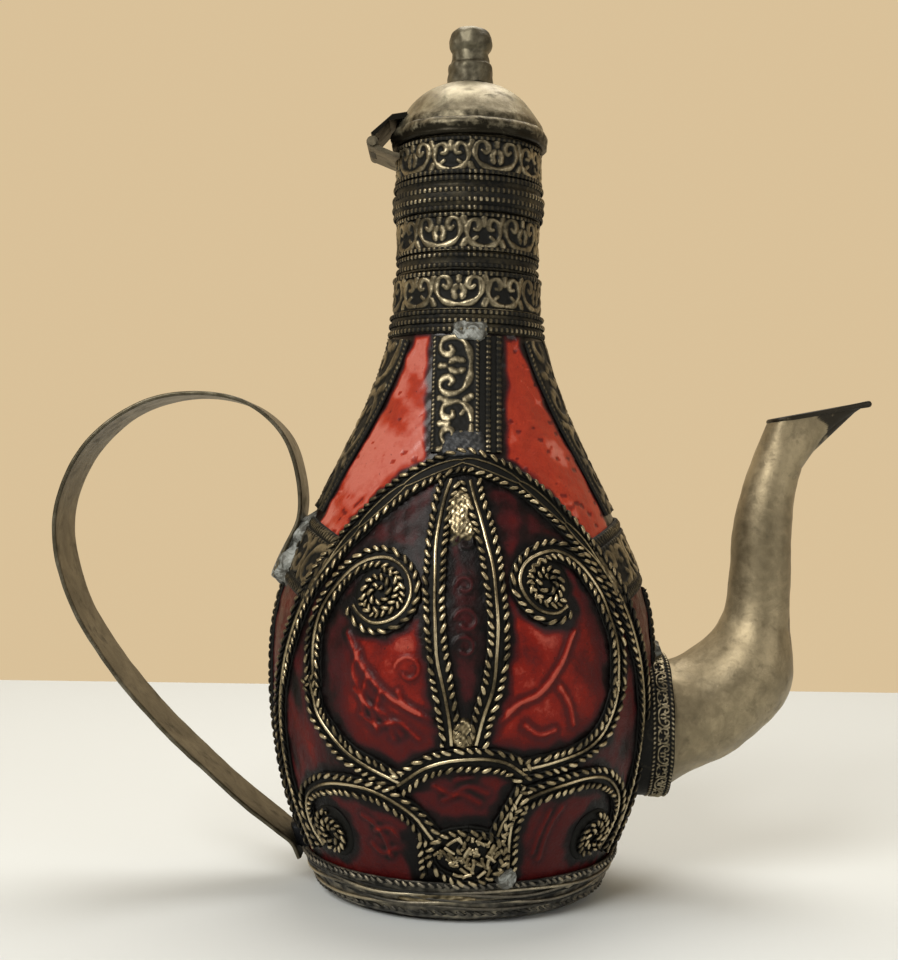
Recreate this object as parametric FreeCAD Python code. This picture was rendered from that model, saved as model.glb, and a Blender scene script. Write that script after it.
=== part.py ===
"""Dallah coffee pot, in millimetres, +Z up, origin at the middle of its base.

A pear-shaped sheet-brass vessel is dressed in red leather panels. Embossed straps, bands and filigree
ribbons are laid over the leather and soldered together. The handle side is -X, the spout side is +X and
the front is -Y. The front and back carry the same filigree medallion. The lid turns on a three-knuckle
hinge on the handle side of the neck.

Angles are in degrees about +Z, 0 at the front and positive towards the spout. A piece laid on the body is
placed by angle and height, and by its lift, the radial distance outside the leather.
"""
import FreeCAD, Part
import math
import os
from FreeCAD import Vector

# ---------------------------------------------------------------- driving dimensions
LEATHER = 1.0                # leather thickness
VESSEL_WALL = 0.8            # sheet thickness of the vessel
STRAP = 0.8                  # thickness of an embossed strap
RIBBON = 1.1                 # height of a filigree ribbon above the leather
SEAT = 0.08                  # clearance under a strap or ribbon
BODY_TOP = 111.0             # height at which the body meets the neck
# Outside of the leather, (radius, height), from the base to the foot of the neck.
BODY_OUTLINE = [(27.2, 0), (31.2, 9), (35.0, 19), (37.5, 31), (38.5, 44), (37.8, 55),
                (35.0, 65), (31.0, 74), (26.0, 84.3), (21.1, 94.5), (17.6, 103.5), (15.4, BODY_TOP)]

BASE_PLATE = 1.0             # thickness of the base plate
BASE_RADIUS = 25.6
FOOT_TOP = 8.6               # top of the conical foot band
FOOT_BAND = 1.2              # thickness of the foot band

NECK_RADIUS = 13.6           # outside of the bare neck
NECK_TOP = 150.8
RIM_HEIGHT = 149.7           # underside of the lid's rim

STRAP_WIDTH = 14.2           # embossed strap at the front and back
SIDE_STRAP_WIDTH = 12.6      # one of the pair of straps on each side
SIDE_RIB_WIDTH = 12.0        # strap below the shoulder band
SHOULDER_LOW, SHOULDER_HIGH = 61.5, 75.5
ARCH_WIDTH = 5.4

SPOUT_HEIGHT = 32.8          # height of the spout's collar
COLLAR_RADIUS = 14.8
SPOUT_WALL = 0.9
SPOUT_HOLE = 8.0             # radius of the hole through the body behind the spout
# Spout sections: (x, z, direction above +X in degrees, outside radius).
SPOUT_SECTIONS = [(36.5, 31.6, 14, 13.2), (42.0, 34.6, 24, 12.4), (50.4, 37.5, 38, 11.2),
                  (58.5, 45.0, 57, 10.1), (60.3, 54.5, 80, 6.95), (60.9, 64.0, 89, 6.2),
                  (61.2, 72.0, 90, 6.1), (62.3, 80.0, 83, 5.6), (64.4, 87.3, 70, 5.0)]
LIP_BACK = (62.3, 95.2)      # the mouth's rim at the back, and at the tip of the beak
LIP_TIP = (83.6, 99.4)
LIP_HALF_WIDTH = 5.6

HANDLE_WIDTH = 15.4
HANDLE_THICK = 0.9
# Middle of the handle strap, (x, z), from the shoulder band over the loop to the foot.
HANDLE_PATH = [(-38.0, 62.5), (-35.6, 68.5), (-33.2, 74.5), (-33.4, 82.0), (-36.6, 91.0), (-43.5, 96.8),
               (-54.0, 98.9), (-66.0, 96.4), (-76.4, 88.0), (-82.0, 74.5), (-80.0, 60.0),
               (-71.4, 44.8), (-57.2, 28.9), (-43.0, 16.4), (-34.8, 10.4)]

HINGE_X, HINGE_Z = -19.5, 149.8
KNUCKLE_RADIUS = 1.2
PIN_RADIUS = 0.5
RUNNING_GAP = 0.06           # radial clearance between the pin and the lid's knuckle
HINGE_WIDTH = 14.0
LID_KNUCKLE = 5.0            # length of the middle knuckle
LEAF = 0.7                   # thickness of a hinge leaf

# Middle lines of one medallion's filigree, by (angle, height). Left is as seen by a viewer facing it.
ARCH_HALF = [(0, 85.6), (9, 84.6), (16, 83.2), (24, 80.9), (31, 77.7), (37.5, 73.9), (43, 70.2), (48, 65.9),
             (53, 61), (58.5, 52.4), (62.5, 46), (67, 35), (67.3, 27), (66, 20), (63.5, 10.6)]
SCROLL_LEFT = [(-45.5, 44.8), (-46, 53.4), (-44, 58.5), (-38, 64.5), (-31, 67.2), (-24, 67.6), (-18, 65.4),
               (-15.6, 62), (-16.4, 59.3), (-20, 57), (-26, 56), (-31, 57.6), (-33, 59)]
SCROLL_RIGHT = [(48.5, 44.8), (48, 52.7), (46, 57), (43, 62.3), (37.5, 67), (30, 69.3), (23, 68.6), (18, 66.6),
                (16.2, 63.8), (18, 60.8), (22, 58.7), (27, 58.2), (30.5, 59.3)]
LEAF_LEFT = [(-6.8, 80.4), (-9, 73.3), (-9.2, 66.2), (-8.4, 59.6), (-7.2, 51.2), (-5.4, 45), (-3.6, 37.6)]
LEAF_RIGHT = [(3, 79), (6.2, 72.5), (8, 66.4), (9, 59.8), (9, 53.2), (7.8, 46), (5, 39.5), (3.8, 37.6)]
BOW_LEFT = [(-45.8, 42.6), (-44.4, 38.8), (-39, 35), (-34, 32.3), (-28, 30.4), (-20.5, 28.2)]
BOW_RIGHT = [(47, 42.4), (45, 38.4), (42, 35.7), (37, 33.4), (31, 32), (20.6, 30.8)]
LENS = [(-16.5, 28.3), (-11, 30.4), (-4, 32), (2, 32.4), (8, 32.3), (12.5, 31.6), (17, 29.8)]
BASE_LEFT = [(-9.6, 18.4), (-13, 21.2), (-18, 23.4), (-25, 25.3), (-33, 26), (-41, 25.8), (-49, 24), (-54, 21.9),
             (-56.2, 19), (-55.5, 15.5), (-52, 12.4)]
BASE_RIGHT = [(21.5, 25.8), (30, 27), (38, 27.6), (46, 26.9), (52, 24.8), (56.2, 22), (58, 18.6), (56.8, 15),
              (53.5, 12.2)]
STEM_LEFT = [(-12.6, 17.6), (-12, 10)]
STEM_RIGHT = [(17, 24), (14.6, 20), (14.4, 16.5), (15.4, 10.4)]
RIBBON_WIDTH = 4.4
STEM_WIDTHS = (1.6, 3.4)     # a single rope on the left, a whole ribbon on the right
# Coils in the eyes of the scrolls: (angle, height, radius).
EYE_LEFT, EYE_RIGHT = (-25.6, 61.6, 4.5), (25.0, 63.7, 4.3)
BASE_EYE_LEFT, BASE_EYE_RIGHT = (-44.5, 16.0, 4.4), (46.0, 15.8, 4.6)
ROSETTE = (2.4, 14.5, 5.2)
FOOT_CLEAR = 9.0             # height at which the filigree stops above the foot band

FAR = 200.0                  # larger than the object


# ---------------------------------------------------------------- helpers
def spline(points):
    """A smooth curve through the points."""
    curve = Part.BSplineCurve()
    curve.interpolate([Vector(*p) for p in points])
    return curve


def body_curve(lift):
    """The body's outline in the XZ plane, moved outwards by lift."""
    return spline([(r + lift, 0, z) for r, z in BODY_OUTLINE])


BODY_CURVE = body_curve(0)


def body_radius(z):
    """Radius of the leather's outside at height z."""
    low, high = BODY_CURVE.FirstParameter, BODY_CURVE.LastParameter
    for _ in range(40):
        middle = (low + high) / 2
        if BODY_CURVE.value(middle).z < z:
            low = middle
        else:
            high = middle
    return BODY_CURVE.value(low).x


def on_body(angle, z, lift):
    """The point at that angle and height, lift outside the leather."""
    r = body_radius(z) + lift
    a = math.radians(angle)
    return Vector(r * math.sin(a), -r * math.cos(a), z)


def turned(wire_points):
    """Solid of revolution about Z from a closed polygon of (radius, z)."""
    wire = Part.makePolygon([Vector(r, 0, z) for r, z in wire_points + wire_points[:1]])
    return Part.Face(wire).revolve(Vector(), Vector(0, 0, 1), 360)


def layer(low, high, z0, z1, start=0.0, sweep=360.0):
    """Shell over the body between two lifts and two heights, from angle start through sweep."""
    inner, outer = body_curve(low).toShape(), body_curve(high).toShape()
    bottom = Part.LineSegment(inner.firstVertex().Point, outer.firstVertex().Point).toShape()
    top = Part.LineSegment(inner.lastVertex().Point, outer.lastVertex().Point).toShape()
    face = Part.Face(Part.Wire([bottom, outer, top, inner]))
    solid = face.revolve(Vector(), Vector(0, 0, 1), sweep)
    solid.rotate(Vector(), Vector(0, 0, 1), start - 90)
    slab = Part.makeBox(FAR, FAR, z1 - z0, Vector(-FAR / 2, -FAR / 2, z0))
    return solid.common(slab)


def filled(lift, floor, neck_radius, top):
    """The body's outline moved outwards by lift, filled in, with a straight neck above it."""
    edge = body_curve(lift).toShape()
    start, end = edge.firstVertex().Point, edge.lastVertex().Point
    outline = [Part.LineSegment(Vector(0, 0, start.z), start).toShape(), edge]
    corners = [end, Vector(neck_radius, 0, end.z + 2), Vector(neck_radius, 0, top),
               Vector(0, 0, top), Vector(0, 0, start.z)]
    outline += Part.makePolygon(corners).Edges
    solid = Part.Face(Part.Wire(outline)).revolve(Vector(), Vector(0, 0, 1), 360)
    return solid.common(Part.makeBox(FAR, FAR, FAR, Vector(-FAR / 2, -FAR / 2, floor)))


def sampled(path, count):
    """Points evenly spaced in parameter along a smooth curve through path."""
    curve = spline([(a, z, 0) for a, z in path])
    first, last = curve.FirstParameter, curve.LastParameter
    points = [curve.value(first + (last - first) * i / (count - 1)) for i in range(count)]
    return [(p.x, p.y) for p in points]


def section(path, i, width, lift, pieces):
    """Points across a strip at its i-th middle point, in the plane square to it, all at that lift."""
    here = on_body(*path[i], 0)
    ahead, behind = on_body(*path[min(i + 1, len(path) - 1)], 0), on_body(*path[max(i - 1, 0)], 0)
    along = (ahead - behind).normalize()
    angle, z = math.radians(path[i][0]), path[i][1]
    slope = (body_radius(z + 1) - body_radius(z - 1)) / 2
    normal = Vector(math.sin(angle), -math.cos(angle), -slope)
    normal = (normal - along * normal.dot(along)).normalize()
    across = normal.cross(along)
    points = []
    for k in range(pieces + 1):
        flat = here + across * (width * (k / pieces - 0.5))
        height = 0.0
        for _ in range(6):
            q = flat + normal * height
            height += body_radius(q.z) + lift - math.hypot(q.x, q.y)
        points.append(flat + normal * height)
    return points


def strip(path, width, low, high, count=24, pieces=2):
    """A strap of that width laid along a path of (angle, z) on the body, between two lifts."""
    path = sampled(path, count)
    sections = []
    for i in range(count):
        under, over = (section(path, i, width, lift, pieces) for lift in (low, high))
        sections.append(Part.makePolygon(under + over[::-1] + under[:1]))
    return Part.makeLoft(sections, True, True)


def button(spot, low, high):
    """A round patch of the body's surface at (angle, height, radius), between two lifts."""
    angle, z, radius = spot
    centre = on_body(angle, z, 0)
    outward = Vector(centre.x, centre.y, 0).normalize()
    punch = Part.makeCylinder(radius, 20, centre - outward * 10, outward)
    return layer(low, high, z - 8, z + 8, angle - 25, 50).common(punch)


def trimmed(shape, *others):
    """The largest piece left of the shape after cutting the others away."""
    for other in others:
        if shape.BoundBox.intersect(other.BoundBox):
            shape = shape.cut(other)
    return max(shape.Solids, key=lambda s: s.Volume)


def arch_field():
    """Everything inside the arch's middle line, through the whole depth."""
    outline = [on_body(a, z, 0) for a, z in sampled(ARCH, 61)]
    outline = [Vector(p.x, 0, p.z) for p in outline]
    curve = Part.BSplineCurve()
    curve.interpolate(outline)
    first, last = outline[0], outline[-1]
    corners = [last, Vector(last.x, 0, -10), Vector(first.x, 0, -10), first]
    face = Part.Face(Part.Wire([curve.toShape()] + Part.makePolygon(corners).Edges))
    solid = face.extrude(Vector(0, FAR, 0))
    solid.translate(Vector(0, -FAR / 2, 0))
    return solid


def around(shape, angle):
    """A copy turned by that angle about Z."""
    copy = shape.copy()
    copy.rotate(Vector(), Vector(0, 0, 1), angle)
    return copy


def cylinder_x(radius, x0, x1, z):
    return Part.makeCylinder(radius, x1 - x0, Vector(x0, 0, z), Vector(1, 0, 0))


# ---------------------------------------------------------------- vessel, leather and base
ARCH = [(-a, z) for a, z in reversed(ARCH_HALF)] + ARCH_HALF[1:]


def vessel():
    """Sheet-brass vessel: closed bottom, pear body, straight neck, and a hole behind the spout."""
    outside = filled(-LEATHER, BASE_PLATE, NECK_RADIUS, NECK_TOP)
    inside = filled(-LEATHER - VESSEL_WALL, BASE_PLATE + VESSEL_WALL, NECK_RADIUS - VESSEL_WALL, NECK_TOP + 5)
    hole = cylinder_x(SPOUT_HOLE, 20, 45, SPOUT_HEIGHT)
    return outside.cut(inside).cut(hole), outside


def leather_panels(field):
    """Eight panels: a field inside each medallion, one on each side, and four round the upper body."""
    skin = layer(SEAT / 2 - LEATHER, 0, FOOT_TOP - 6, BODY_TOP - 0.5)
    skin = skin.cut(cylinder_x(SPOUT_HOLE, 20, 45, SPOUT_HEIGHT))
    front = Part.makeBox(FAR, FAR / 2, FAR, Vector(-FAR / 2, -FAR / 2, -1))
    right = Part.makeBox(FAR / 2, FAR, FAR, Vector(0, -FAR / 2, -1))
    below = Part.makeBox(FAR, FAR, 70 + 10, Vector(-FAR / 2, -FAR / 2, -10))
    fields, outside = skin.common(field), skin.cut(field)
    sides, upper = outside.common(below), outside.cut(below)
    front_upper, back_upper = upper.common(front), upper.cut(front)
    return {
        "leather_field_front": fields.common(front),
        "leather_field_back": fields.cut(front),
        "leather_side_spout": sides.common(right),
        "leather_side_handle": sides.cut(right),
        "leather_upper_front_spout": front_upper.common(right),
        "leather_upper_front_handle": front_upper.cut(right),
        "leather_upper_back_spout": back_upper.common(right),
        "leather_upper_back_handle": back_upper.cut(right),
    }


def base_plate():
    return Part.makeCylinder(BASE_RADIUS, BASE_PLATE)


def foot_band():
    """Conical band round the foot, with a beaded top edge."""
    band = layer(SEAT / 2, FOOT_BAND, 0.2, FOOT_TOP)
    bead = layer(FOOT_BAND, FOOT_BAND + 0.5, FOOT_TOP - 1.6, FOOT_TOP)
    # Its lower edge slopes in to the base plate.
    slope = Part.makeCylinder(FAR, 1.8).cut(Part.makeCone(BASE_RADIUS, BASE_RADIUS + 4.4, 1.8))
    return band.fuse(bead).removeSplitter().cut(slope)


# ---------------------------------------------------------------- straps
def straps(arches, neck_foot):
    """Embossed straps from the neck down, the shoulder bands, and the ribs below them."""
    made = {}
    top, low, high = BODY_TOP - 0.6, SEAT, STRAP
    front = strip([(0, 84), (0, 92), (0, 101), (0, top)], STRAP_WIDTH, low, high, 12, 6)
    front = trimmed(front, *arches, neck_foot)
    made["strap_front"] = front
    made["strap_back"] = around(front, 180)
    for side, sign in (("handle", -1), ("spout", 1)):
        for face, lean in (("front", -1), ("back", 1)):
            # The pair stand side by side, so each strap's middle is half its width from the side's line.
            path = []
            for z in (SHOULDER_HIGH + 0.7, 84, 92, 101, top):
                half = math.degrees((SIDE_STRAP_WIDTH / 2 + 0.1) / body_radius(z))
                path.append((sign * (90 + lean * half), z))
            strap = strip(path, SIDE_STRAP_WIDTH, low, high, 12, 6)
            made[f"strap_{side}_{face}"] = trimmed(strap, neck_foot)
        # A straight strip wrapped on a cone falls towards its ends.
        centre = (SHOULDER_LOW + SHOULDER_HIGH) / 2
        path = [(sign * (90 + turn), centre - 3.4 * (turn / 38) ** 2) for turn in range(-50, 51, 10)]
        band = strip(path, SHOULDER_HIGH - SHOULDER_LOW, low, high, 31, 6)
        made[f"shoulder_band_{side}"] = trimmed(band, *arches)
    rib = [(-90, FOOT_TOP + 0.4), (-90, 20), (-90, 35), (-90, 48), (-90, SHOULDER_LOW - 0.8)]
    made["side_rib_handle"] = strip(rib, SIDE_RIB_WIDTH, low, high, 14, 6)
    spout_rib = strip([(-a, z) for a, z in rib], SIDE_RIB_WIDTH, low, high, 14, 6)
    pieces = spout_rib.cut(cylinder_x(COLLAR_RADIUS + 0.2, 20, 60, SPOUT_HEIGHT)).Solids
    pieces.sort(key=lambda s: s.CenterOfMass.z)
    made["side_rib_below_spout"], made["side_rib_above_spout"] = pieces[0], pieces[-1]
    return made


# ---------------------------------------------------------------- filigree medallion
def medallion():
    """The filigree of one medallion, in place at the front. Each piece gives way to those before it."""
    low, high = SEAT, RIBBON

    def ribbon(path, count=24, width=RIBBON_WIDTH):
        return strip(path, width, low, high, count)

    foot = Part.makeBox(FAR, FAR, FAR, Vector(-FAR / 2, -FAR / 2, FOOT_CLEAR - FAR))
    arch = ribbon(ARCH, 61, ARCH_WIDTH)
    scroll_left = ribbon(SCROLL_LEFT, 44).fuse(button(EYE_LEFT, low, high))
    scroll_right = ribbon(SCROLL_RIGHT, 44).fuse(button(EYE_RIGHT, low, high))
    lens = ribbon(LENS)
    leaf_left, leaf_right = ribbon(LEAF_LEFT), ribbon(LEAF_RIGHT)
    bow_left, bow_right = ribbon(BOW_LEFT), ribbon(BOW_RIGHT)
    base_left = ribbon(BASE_LEFT, 36).fuse(button(BASE_EYE_LEFT, low, high))
    base_left = base_left.fuse(ribbon(STEM_LEFT + [(-11.8, 9)], 8, STEM_WIDTHS[0]))
    base_right = ribbon(BASE_RIGHT, 36).fuse(button(BASE_EYE_RIGHT, low, high))
    base_right = base_right.fuse(ribbon(STEM_RIGHT, 10, STEM_WIDTHS[1]))
    pieces = [("arch", arch), ("lens_arch", lens), ("scroll_left", scroll_left), ("scroll_right", scroll_right),
              ("leaf_left", leaf_left), ("leaf_right", leaf_right), ("bow_left", bow_left),
              ("bow_right", bow_right), ("rosette", button(ROSETTE, low, high)),
              ("base_scroll_left", base_left), ("base_scroll_right", base_right)]
    made = {}
    for name, shape in pieces:
        made[name] = trimmed(shape, foot, *made.values())
    return made


# ---------------------------------------------------------------- neck
def neck_pieces(vessel_outside):
    """Embossed bands and beaded rings round the neck, from the lid down."""
    def band(outer, z0, z1):
        edge = 0.8                                      # beaded edges stand a little proud of the band
        return turned([(NECK_RADIUS, z0), (outer, z0), (outer, z0 + edge), (outer - 0.35, z0 + edge + 0.3),
                       (outer - 0.35, z1 - edge - 0.3), (outer, z1 - edge), (outer, z1), (NECK_RADIUS, z1)])

    lower = [(12, 110.6), (16.0, 110.6), (16.2, 111.6), (15.9, 112.6), (16.0, 113.6), (15.7, 114.5), (12, 114.5)]
    return {
        "neck_band_top": band(15.1, 142.0, 149.6),
        "neck_ring_upper": turned([(NECK_RADIUS, 134.8), (14.9, 134.8), (15.6, 136.4), (15.7, 138.4),
                                   (15.2, 139.6), (15.2, 141.9), (NECK_RADIUS, 141.9)]),
        "neck_band_middle": band(14.8, 127.0, 134.7),
        "neck_ring_middle": turned([(NECK_RADIUS, 123.2), (14.7, 123.2), (14.5, 126.9), (NECK_RADIUS, 126.9)]),
        "neck_band_lower": turned([(NECK_RADIUS, 114.6), (15.9, 114.6), (15.9, 115.4), (15.5, 115.7),
                                   (15.1, 122.0), (15.3, 122.3), (15.3, 123.1), (NECK_RADIUS, 123.1)]),
        "neck_ring_lower": turned(lower).cut(vessel_outside),
    }


# ---------------------------------------------------------------- spout
def circle_wire(x, z, direction, radius):
    d = math.radians(direction)
    return Part.Wire(Part.makeCircle(radius, Vector(x, 0, z), Vector(math.cos(d), 0, math.sin(d))))


def lip_wire(inset):
    """Teardrop in the sloping plane of the mouth, round at the back and pointed at the tip."""
    back, tip = Vector(LIP_BACK[0], 0, LIP_BACK[1]), Vector(LIP_TIP[0], 0, LIP_TIP[1])
    along = (tip - back).normalize()
    length = (tip - back).Length
    half = LIP_HALF_WIDTH - inset
    shape = [(inset, 0), (1.6 + inset, 0.62 * half), (7.0, half), (13.0, 0.62 * half),
             (length - 1.2 - 1.5 * inset, 0.1 * half)]
    points = [back + along * u + Vector(0, v, 0) for u, v in shape]
    nose = back + along * (length - 1.5 * inset)
    points += [nose] + [Vector(p.x, -p.y, p.z) for p in reversed(points[1:])]
    curve = Part.BSplineCurve()
    curve.interpolate(points, True)
    return Part.Wire(curve.toShape())


def spout_tube(wall):
    """The spout filled in, made thinner all round by wall."""
    return Part.makeLoft([circle_wire(x, z, d, r - wall) for x, z, d, r in SPOUT_SECTIONS], True, False)


def spout(arches):
    """Tapered swan-neck tube, open at both ends, and its beaked lip."""
    tube = spout_tube(0).cut(spout_tube(SPOUT_WALL))
    tube = trimmed(tube, filled(STRAP + 0.05, 0, 10, 120), *arches)
    x, z, d, r = SPOUT_SECTIONS[-1]
    lip = Part.makeLoft([circle_wire(x, z, d, r), lip_wire(0)], True, True)
    mouth = Part.makeLoft([circle_wire(x, z, d, r - SPOUT_WALL), lip_wire(SPOUT_WALL)], True, True)
    return tube, lip.cut(mouth)


def spout_collar(arches):
    """Embossed ring soldered round the root of the spout, fitted to the body."""
    ring = cylinder_x(COLLAR_RADIUS, 30, 41.8, SPOUT_HEIGHT)
    return trimmed(ring, spout_tube(-0.03), filled(STRAP + 0.05, 0, 10, 120), *arches)


# ---------------------------------------------------------------- handle
def handle():
    """Flat strap bent into a loop, with its ends lying on the shoulder band and on the side rib."""
    curve = spline([(x, 0, z) for x, z in HANDLE_PATH])
    first, last = curve.FirstParameter, curve.LastParameter
    sides = ([], [])
    for i in range(49):
        t = first + (last - first) * i / 48
        along = Vector(curve.tangent(t)[0])
        square = Vector(-along.z, 0, along.x).normalize() * (HANDLE_THICK / 2)
        sides[0].append(curve.value(t) + square)
        sides[1].append(curve.value(t) - square)
    edges = [spline([tuple(p) for p in side]).toShape() for side in sides]
    for pick in (0, -1):
        edges.append(Part.LineSegment(sides[0][pick], sides[1][pick]).toShape())
    outline = Part.Wire([edges[0], edges[3], edges[1], edges[2]])
    loop = Part.Face(outline).extrude(Vector(0, HANDLE_WIDTH, 0))
    loop.translate(Vector(0, -HANDLE_WIDTH / 2, 0))
    foot = filled(FOOT_BAND + 0.6, 0, 10, 120).common(Part.makeCylinder(FAR, FOOT_TOP + 0.1))
    return trimmed(loop, filled(STRAP + 0.05, 0, 10, 120), foot)


# ---------------------------------------------------------------- lid and hinge
def lid_dome():
    """Thin dome that rests on the neck's edge."""
    wall = 0.8
    outside = spline([(0, 0, 163.4), (4.6, 0, 163.0), (7.9, 0, 161.8), (11.9, 0, 158.7), (14.3, 0, 155.4),
                      (15.3, 0, 153.0)])
    inside = spline([(0, 0, 163.4 - wall), (4.4, 0, 163.0 - wall), (7.4, 0, 161.8 - wall), (11.2, 0, 158.4 - wall / 2),
                     (13.4, 0, 155.4 - wall / 2), (14.3, 0, 153.0)])
    a, b = outside.toShape(), inside.toShape()
    ends = [Part.LineSegment(a.firstVertex().Point, b.firstVertex().Point).toShape(),
            Part.LineSegment(a.lastVertex().Point, b.lastVertex().Point).toShape()]
    shell = Part.Face(Part.Wire([ends[0], a, ends[1], b])).revolve(Vector(), Vector(0, 0, 1), 360)
    return shell


def lid_rim():
    """Rounded band round the dome's edge, hanging just clear of the neck."""
    return turned([(14.25, RIM_HEIGHT), (15.9, RIM_HEIGHT), (16.35, 150.6), (16.4, 152.2), (16.0, 153.5),
                   (15.4, 153.9), (15.35, 152.95), (14.25, 152.95)])


def finial():
    """Turned spool knob on the crown of the lid."""
    return turned([(0, 163.45), (4.75, 163.05), (4.6, 164.8), (4.35, 167.0), (3.6, 168.3), (3.7, 168.9), (4.3, 169.5),
                   (4.45, 171.2), (4.2, 172.9), (3.4, 174.2), (2.0, 174.9), (0, 175.1)])


def knuckle(y0, y1, bore):
    outer = Part.makeCylinder(KNUCKLE_RADIUS, y1 - y0, Vector(HINGE_X, y0, HINGE_Z), Vector(0, 1, 0))
    return outer.cut(Part.makeCylinder(bore, y1 - y0, Vector(HINGE_X, y0, HINGE_Z), Vector(0, 1, 0)))


def plate(profile, y0, y1):
    """A plate whose section in the XZ plane is the polygon, from y0 to y1."""
    wire = Part.makePolygon([Vector(x, y0, z) for x, z in profile + profile[:1]])
    return Part.Face(wire).extrude(Vector(0, y1 - y0, 0))


def hinge():
    """Lid leaf with the middle knuckle, neck leaf with the two outer ones, and a headed pin."""
    half, middle, gap = HINGE_WIDTH / 2, LID_KNUCKLE / 2, 0.2
    bore = Part.makeCylinder(PIN_RADIUS + RUNNING_GAP, HINGE_WIDTH, Vector(HINGE_X, -half, HINGE_Z), Vector(0, 1, 0))
    lid_plate = plate([(HINGE_X + 0.2, HINGE_Z + 1.12), (HINGE_X - 0.35, HINGE_Z + 1.8), (-15.6, 155.4),
                       (-12.6, 155.9), (-12.6, 154.6), (-16.2, 154.2), (HINGE_X + 1.1, HINGE_Z + 1.9)], -half, half)
    tongue = plate([(HINGE_X - 0.6, HINGE_Z), (HINGE_X - 0.35, HINGE_Z + 1.9), (HINGE_X + 1.1, HINGE_Z + 1.9),
                    (HINGE_X + 0.6, HINGE_Z)], -middle, middle)
    inside_lid = lid_solid_outline()
    lid_leaf = knuckle(-middle, middle, PIN_RADIUS + RUNNING_GAP).fuse(tongue).fuse(lid_plate)
    lid_leaf = lid_leaf.cut(bore).cut(inside_lid)
    # The leaf's sheet stays above the neck's knuckles except over the lid's own.
    for sign in (-1, 1):
        low, high = sorted((sign * (middle + gap), sign * (half + 1)))
        room = Part.makeCylinder(KNUCKLE_RADIUS + 0.25, high - low, Vector(HINGE_X, low, HINGE_Z), Vector(0, 1, 0))
        lid_leaf = lid_leaf.cut(room)
    lid_leaf = max(lid_leaf.Solids, key=lambda s: s.Volume)

    neck_plate = plate([(HINGE_X, HINGE_Z - 1.15), (HINGE_X + 0.9, HINGE_Z - 0.6), (-15.4, 147.9), (-14.0, 147.6),
                        (-14.0, 146.7), (-15.4, 147.0)], -half, half)
    neck_leaf = neck_plate
    for low, high in ((-half, -middle - gap), (middle + gap, half)):
        neck_leaf = neck_leaf.fuse(knuckle(low, high, PIN_RADIUS))
    hole = Part.makeCylinder(PIN_RADIUS, HINGE_WIDTH, Vector(HINGE_X, -half, HINGE_Z), Vector(0, 1, 0))
    room = Part.makeCylinder(KNUCKLE_RADIUS + 0.2, LID_KNUCKLE + 2 * gap,
                             Vector(HINGE_X, -middle - gap, HINGE_Z), Vector(0, 1, 0))
    neck_leaf = neck_leaf.cut(hole).cut(room).cut(Part.makeCylinder(15.12, 20, Vector(0, 0, 135)))
    neck_leaf = max(neck_leaf.Solids, key=lambda s: s.Volume)

    pin = Part.makeCylinder(PIN_RADIUS, HINGE_WIDTH, Vector(HINGE_X, -half, HINGE_Z), Vector(0, 1, 0))
    for y in (-half - 0.4, half):
        pin = pin.fuse(Part.makeCylinder(0.85, 0.4, Vector(HINGE_X, y, HINGE_Z), Vector(0, 1, 0)))
    return lid_leaf, neck_leaf, pin.removeSplitter()


def lid_solid_outline():
    """The lid filled in, a hair larger than it is, to trim the leaf that lies on it."""
    return turned([(0, 149), (16.42, 149), (16.42, 152.3), (16.05, 153.55), (15.3, 153.95), (14.4, 155.4),
                   (13.2, 157.1), (12.0, 158.75), (0, 163)])


# ---------------------------------------------------------------- assembly
def build():
    vessel_shape, vessel_outside = vessel()
    parts = {"vessel": vessel_shape, "base_plate": base_plate(), "foot_band": foot_band()}
    parts.update(leather_panels(arch_field()))
    for name, shape in medallion().items():
        parts[f"front_{name}"] = shape
        parts[f"back_{name}"] = around(shape, 180)
    arches = [parts["front_arch"], parts["back_arch"]]
    parts.update(neck_pieces(vessel_outside))
    parts.update(straps(arches, parts["neck_ring_lower"]))
    parts["spout"], parts["spout_lip"] = spout(arches)
    parts["spout_collar"] = spout_collar(arches)
    parts["handle"] = handle()
    parts["lid_dome"] = lid_dome()
    parts["lid_rim"] = lid_rim()
    parts["finial"] = trimmed(finial(), parts["lid_dome"])
    parts["lid_hinge_leaf"], parts["neck_hinge_leaf"], parts["hinge_pin"] = hinge()
    return parts


def main():
    os.makedirs("parts", exist_ok=True)
    for name, shape in build().items():
        shape.exportStep(os.path.join("parts", name + ".step"))
        solids = shape.Solids
        box = shape.BoundBox
        print(f"{name:28s} solids {len(solids)} valid {shape.isValid()} volume {shape.Volume:9.2f}"
              f"  x {box.XMin:.1f} {box.XMax:.1f} z {box.ZMin:.1f} {box.ZMax:.1f}")


main()
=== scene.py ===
import bpy
import math
import numpy as np
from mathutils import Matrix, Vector, kdtree


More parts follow.
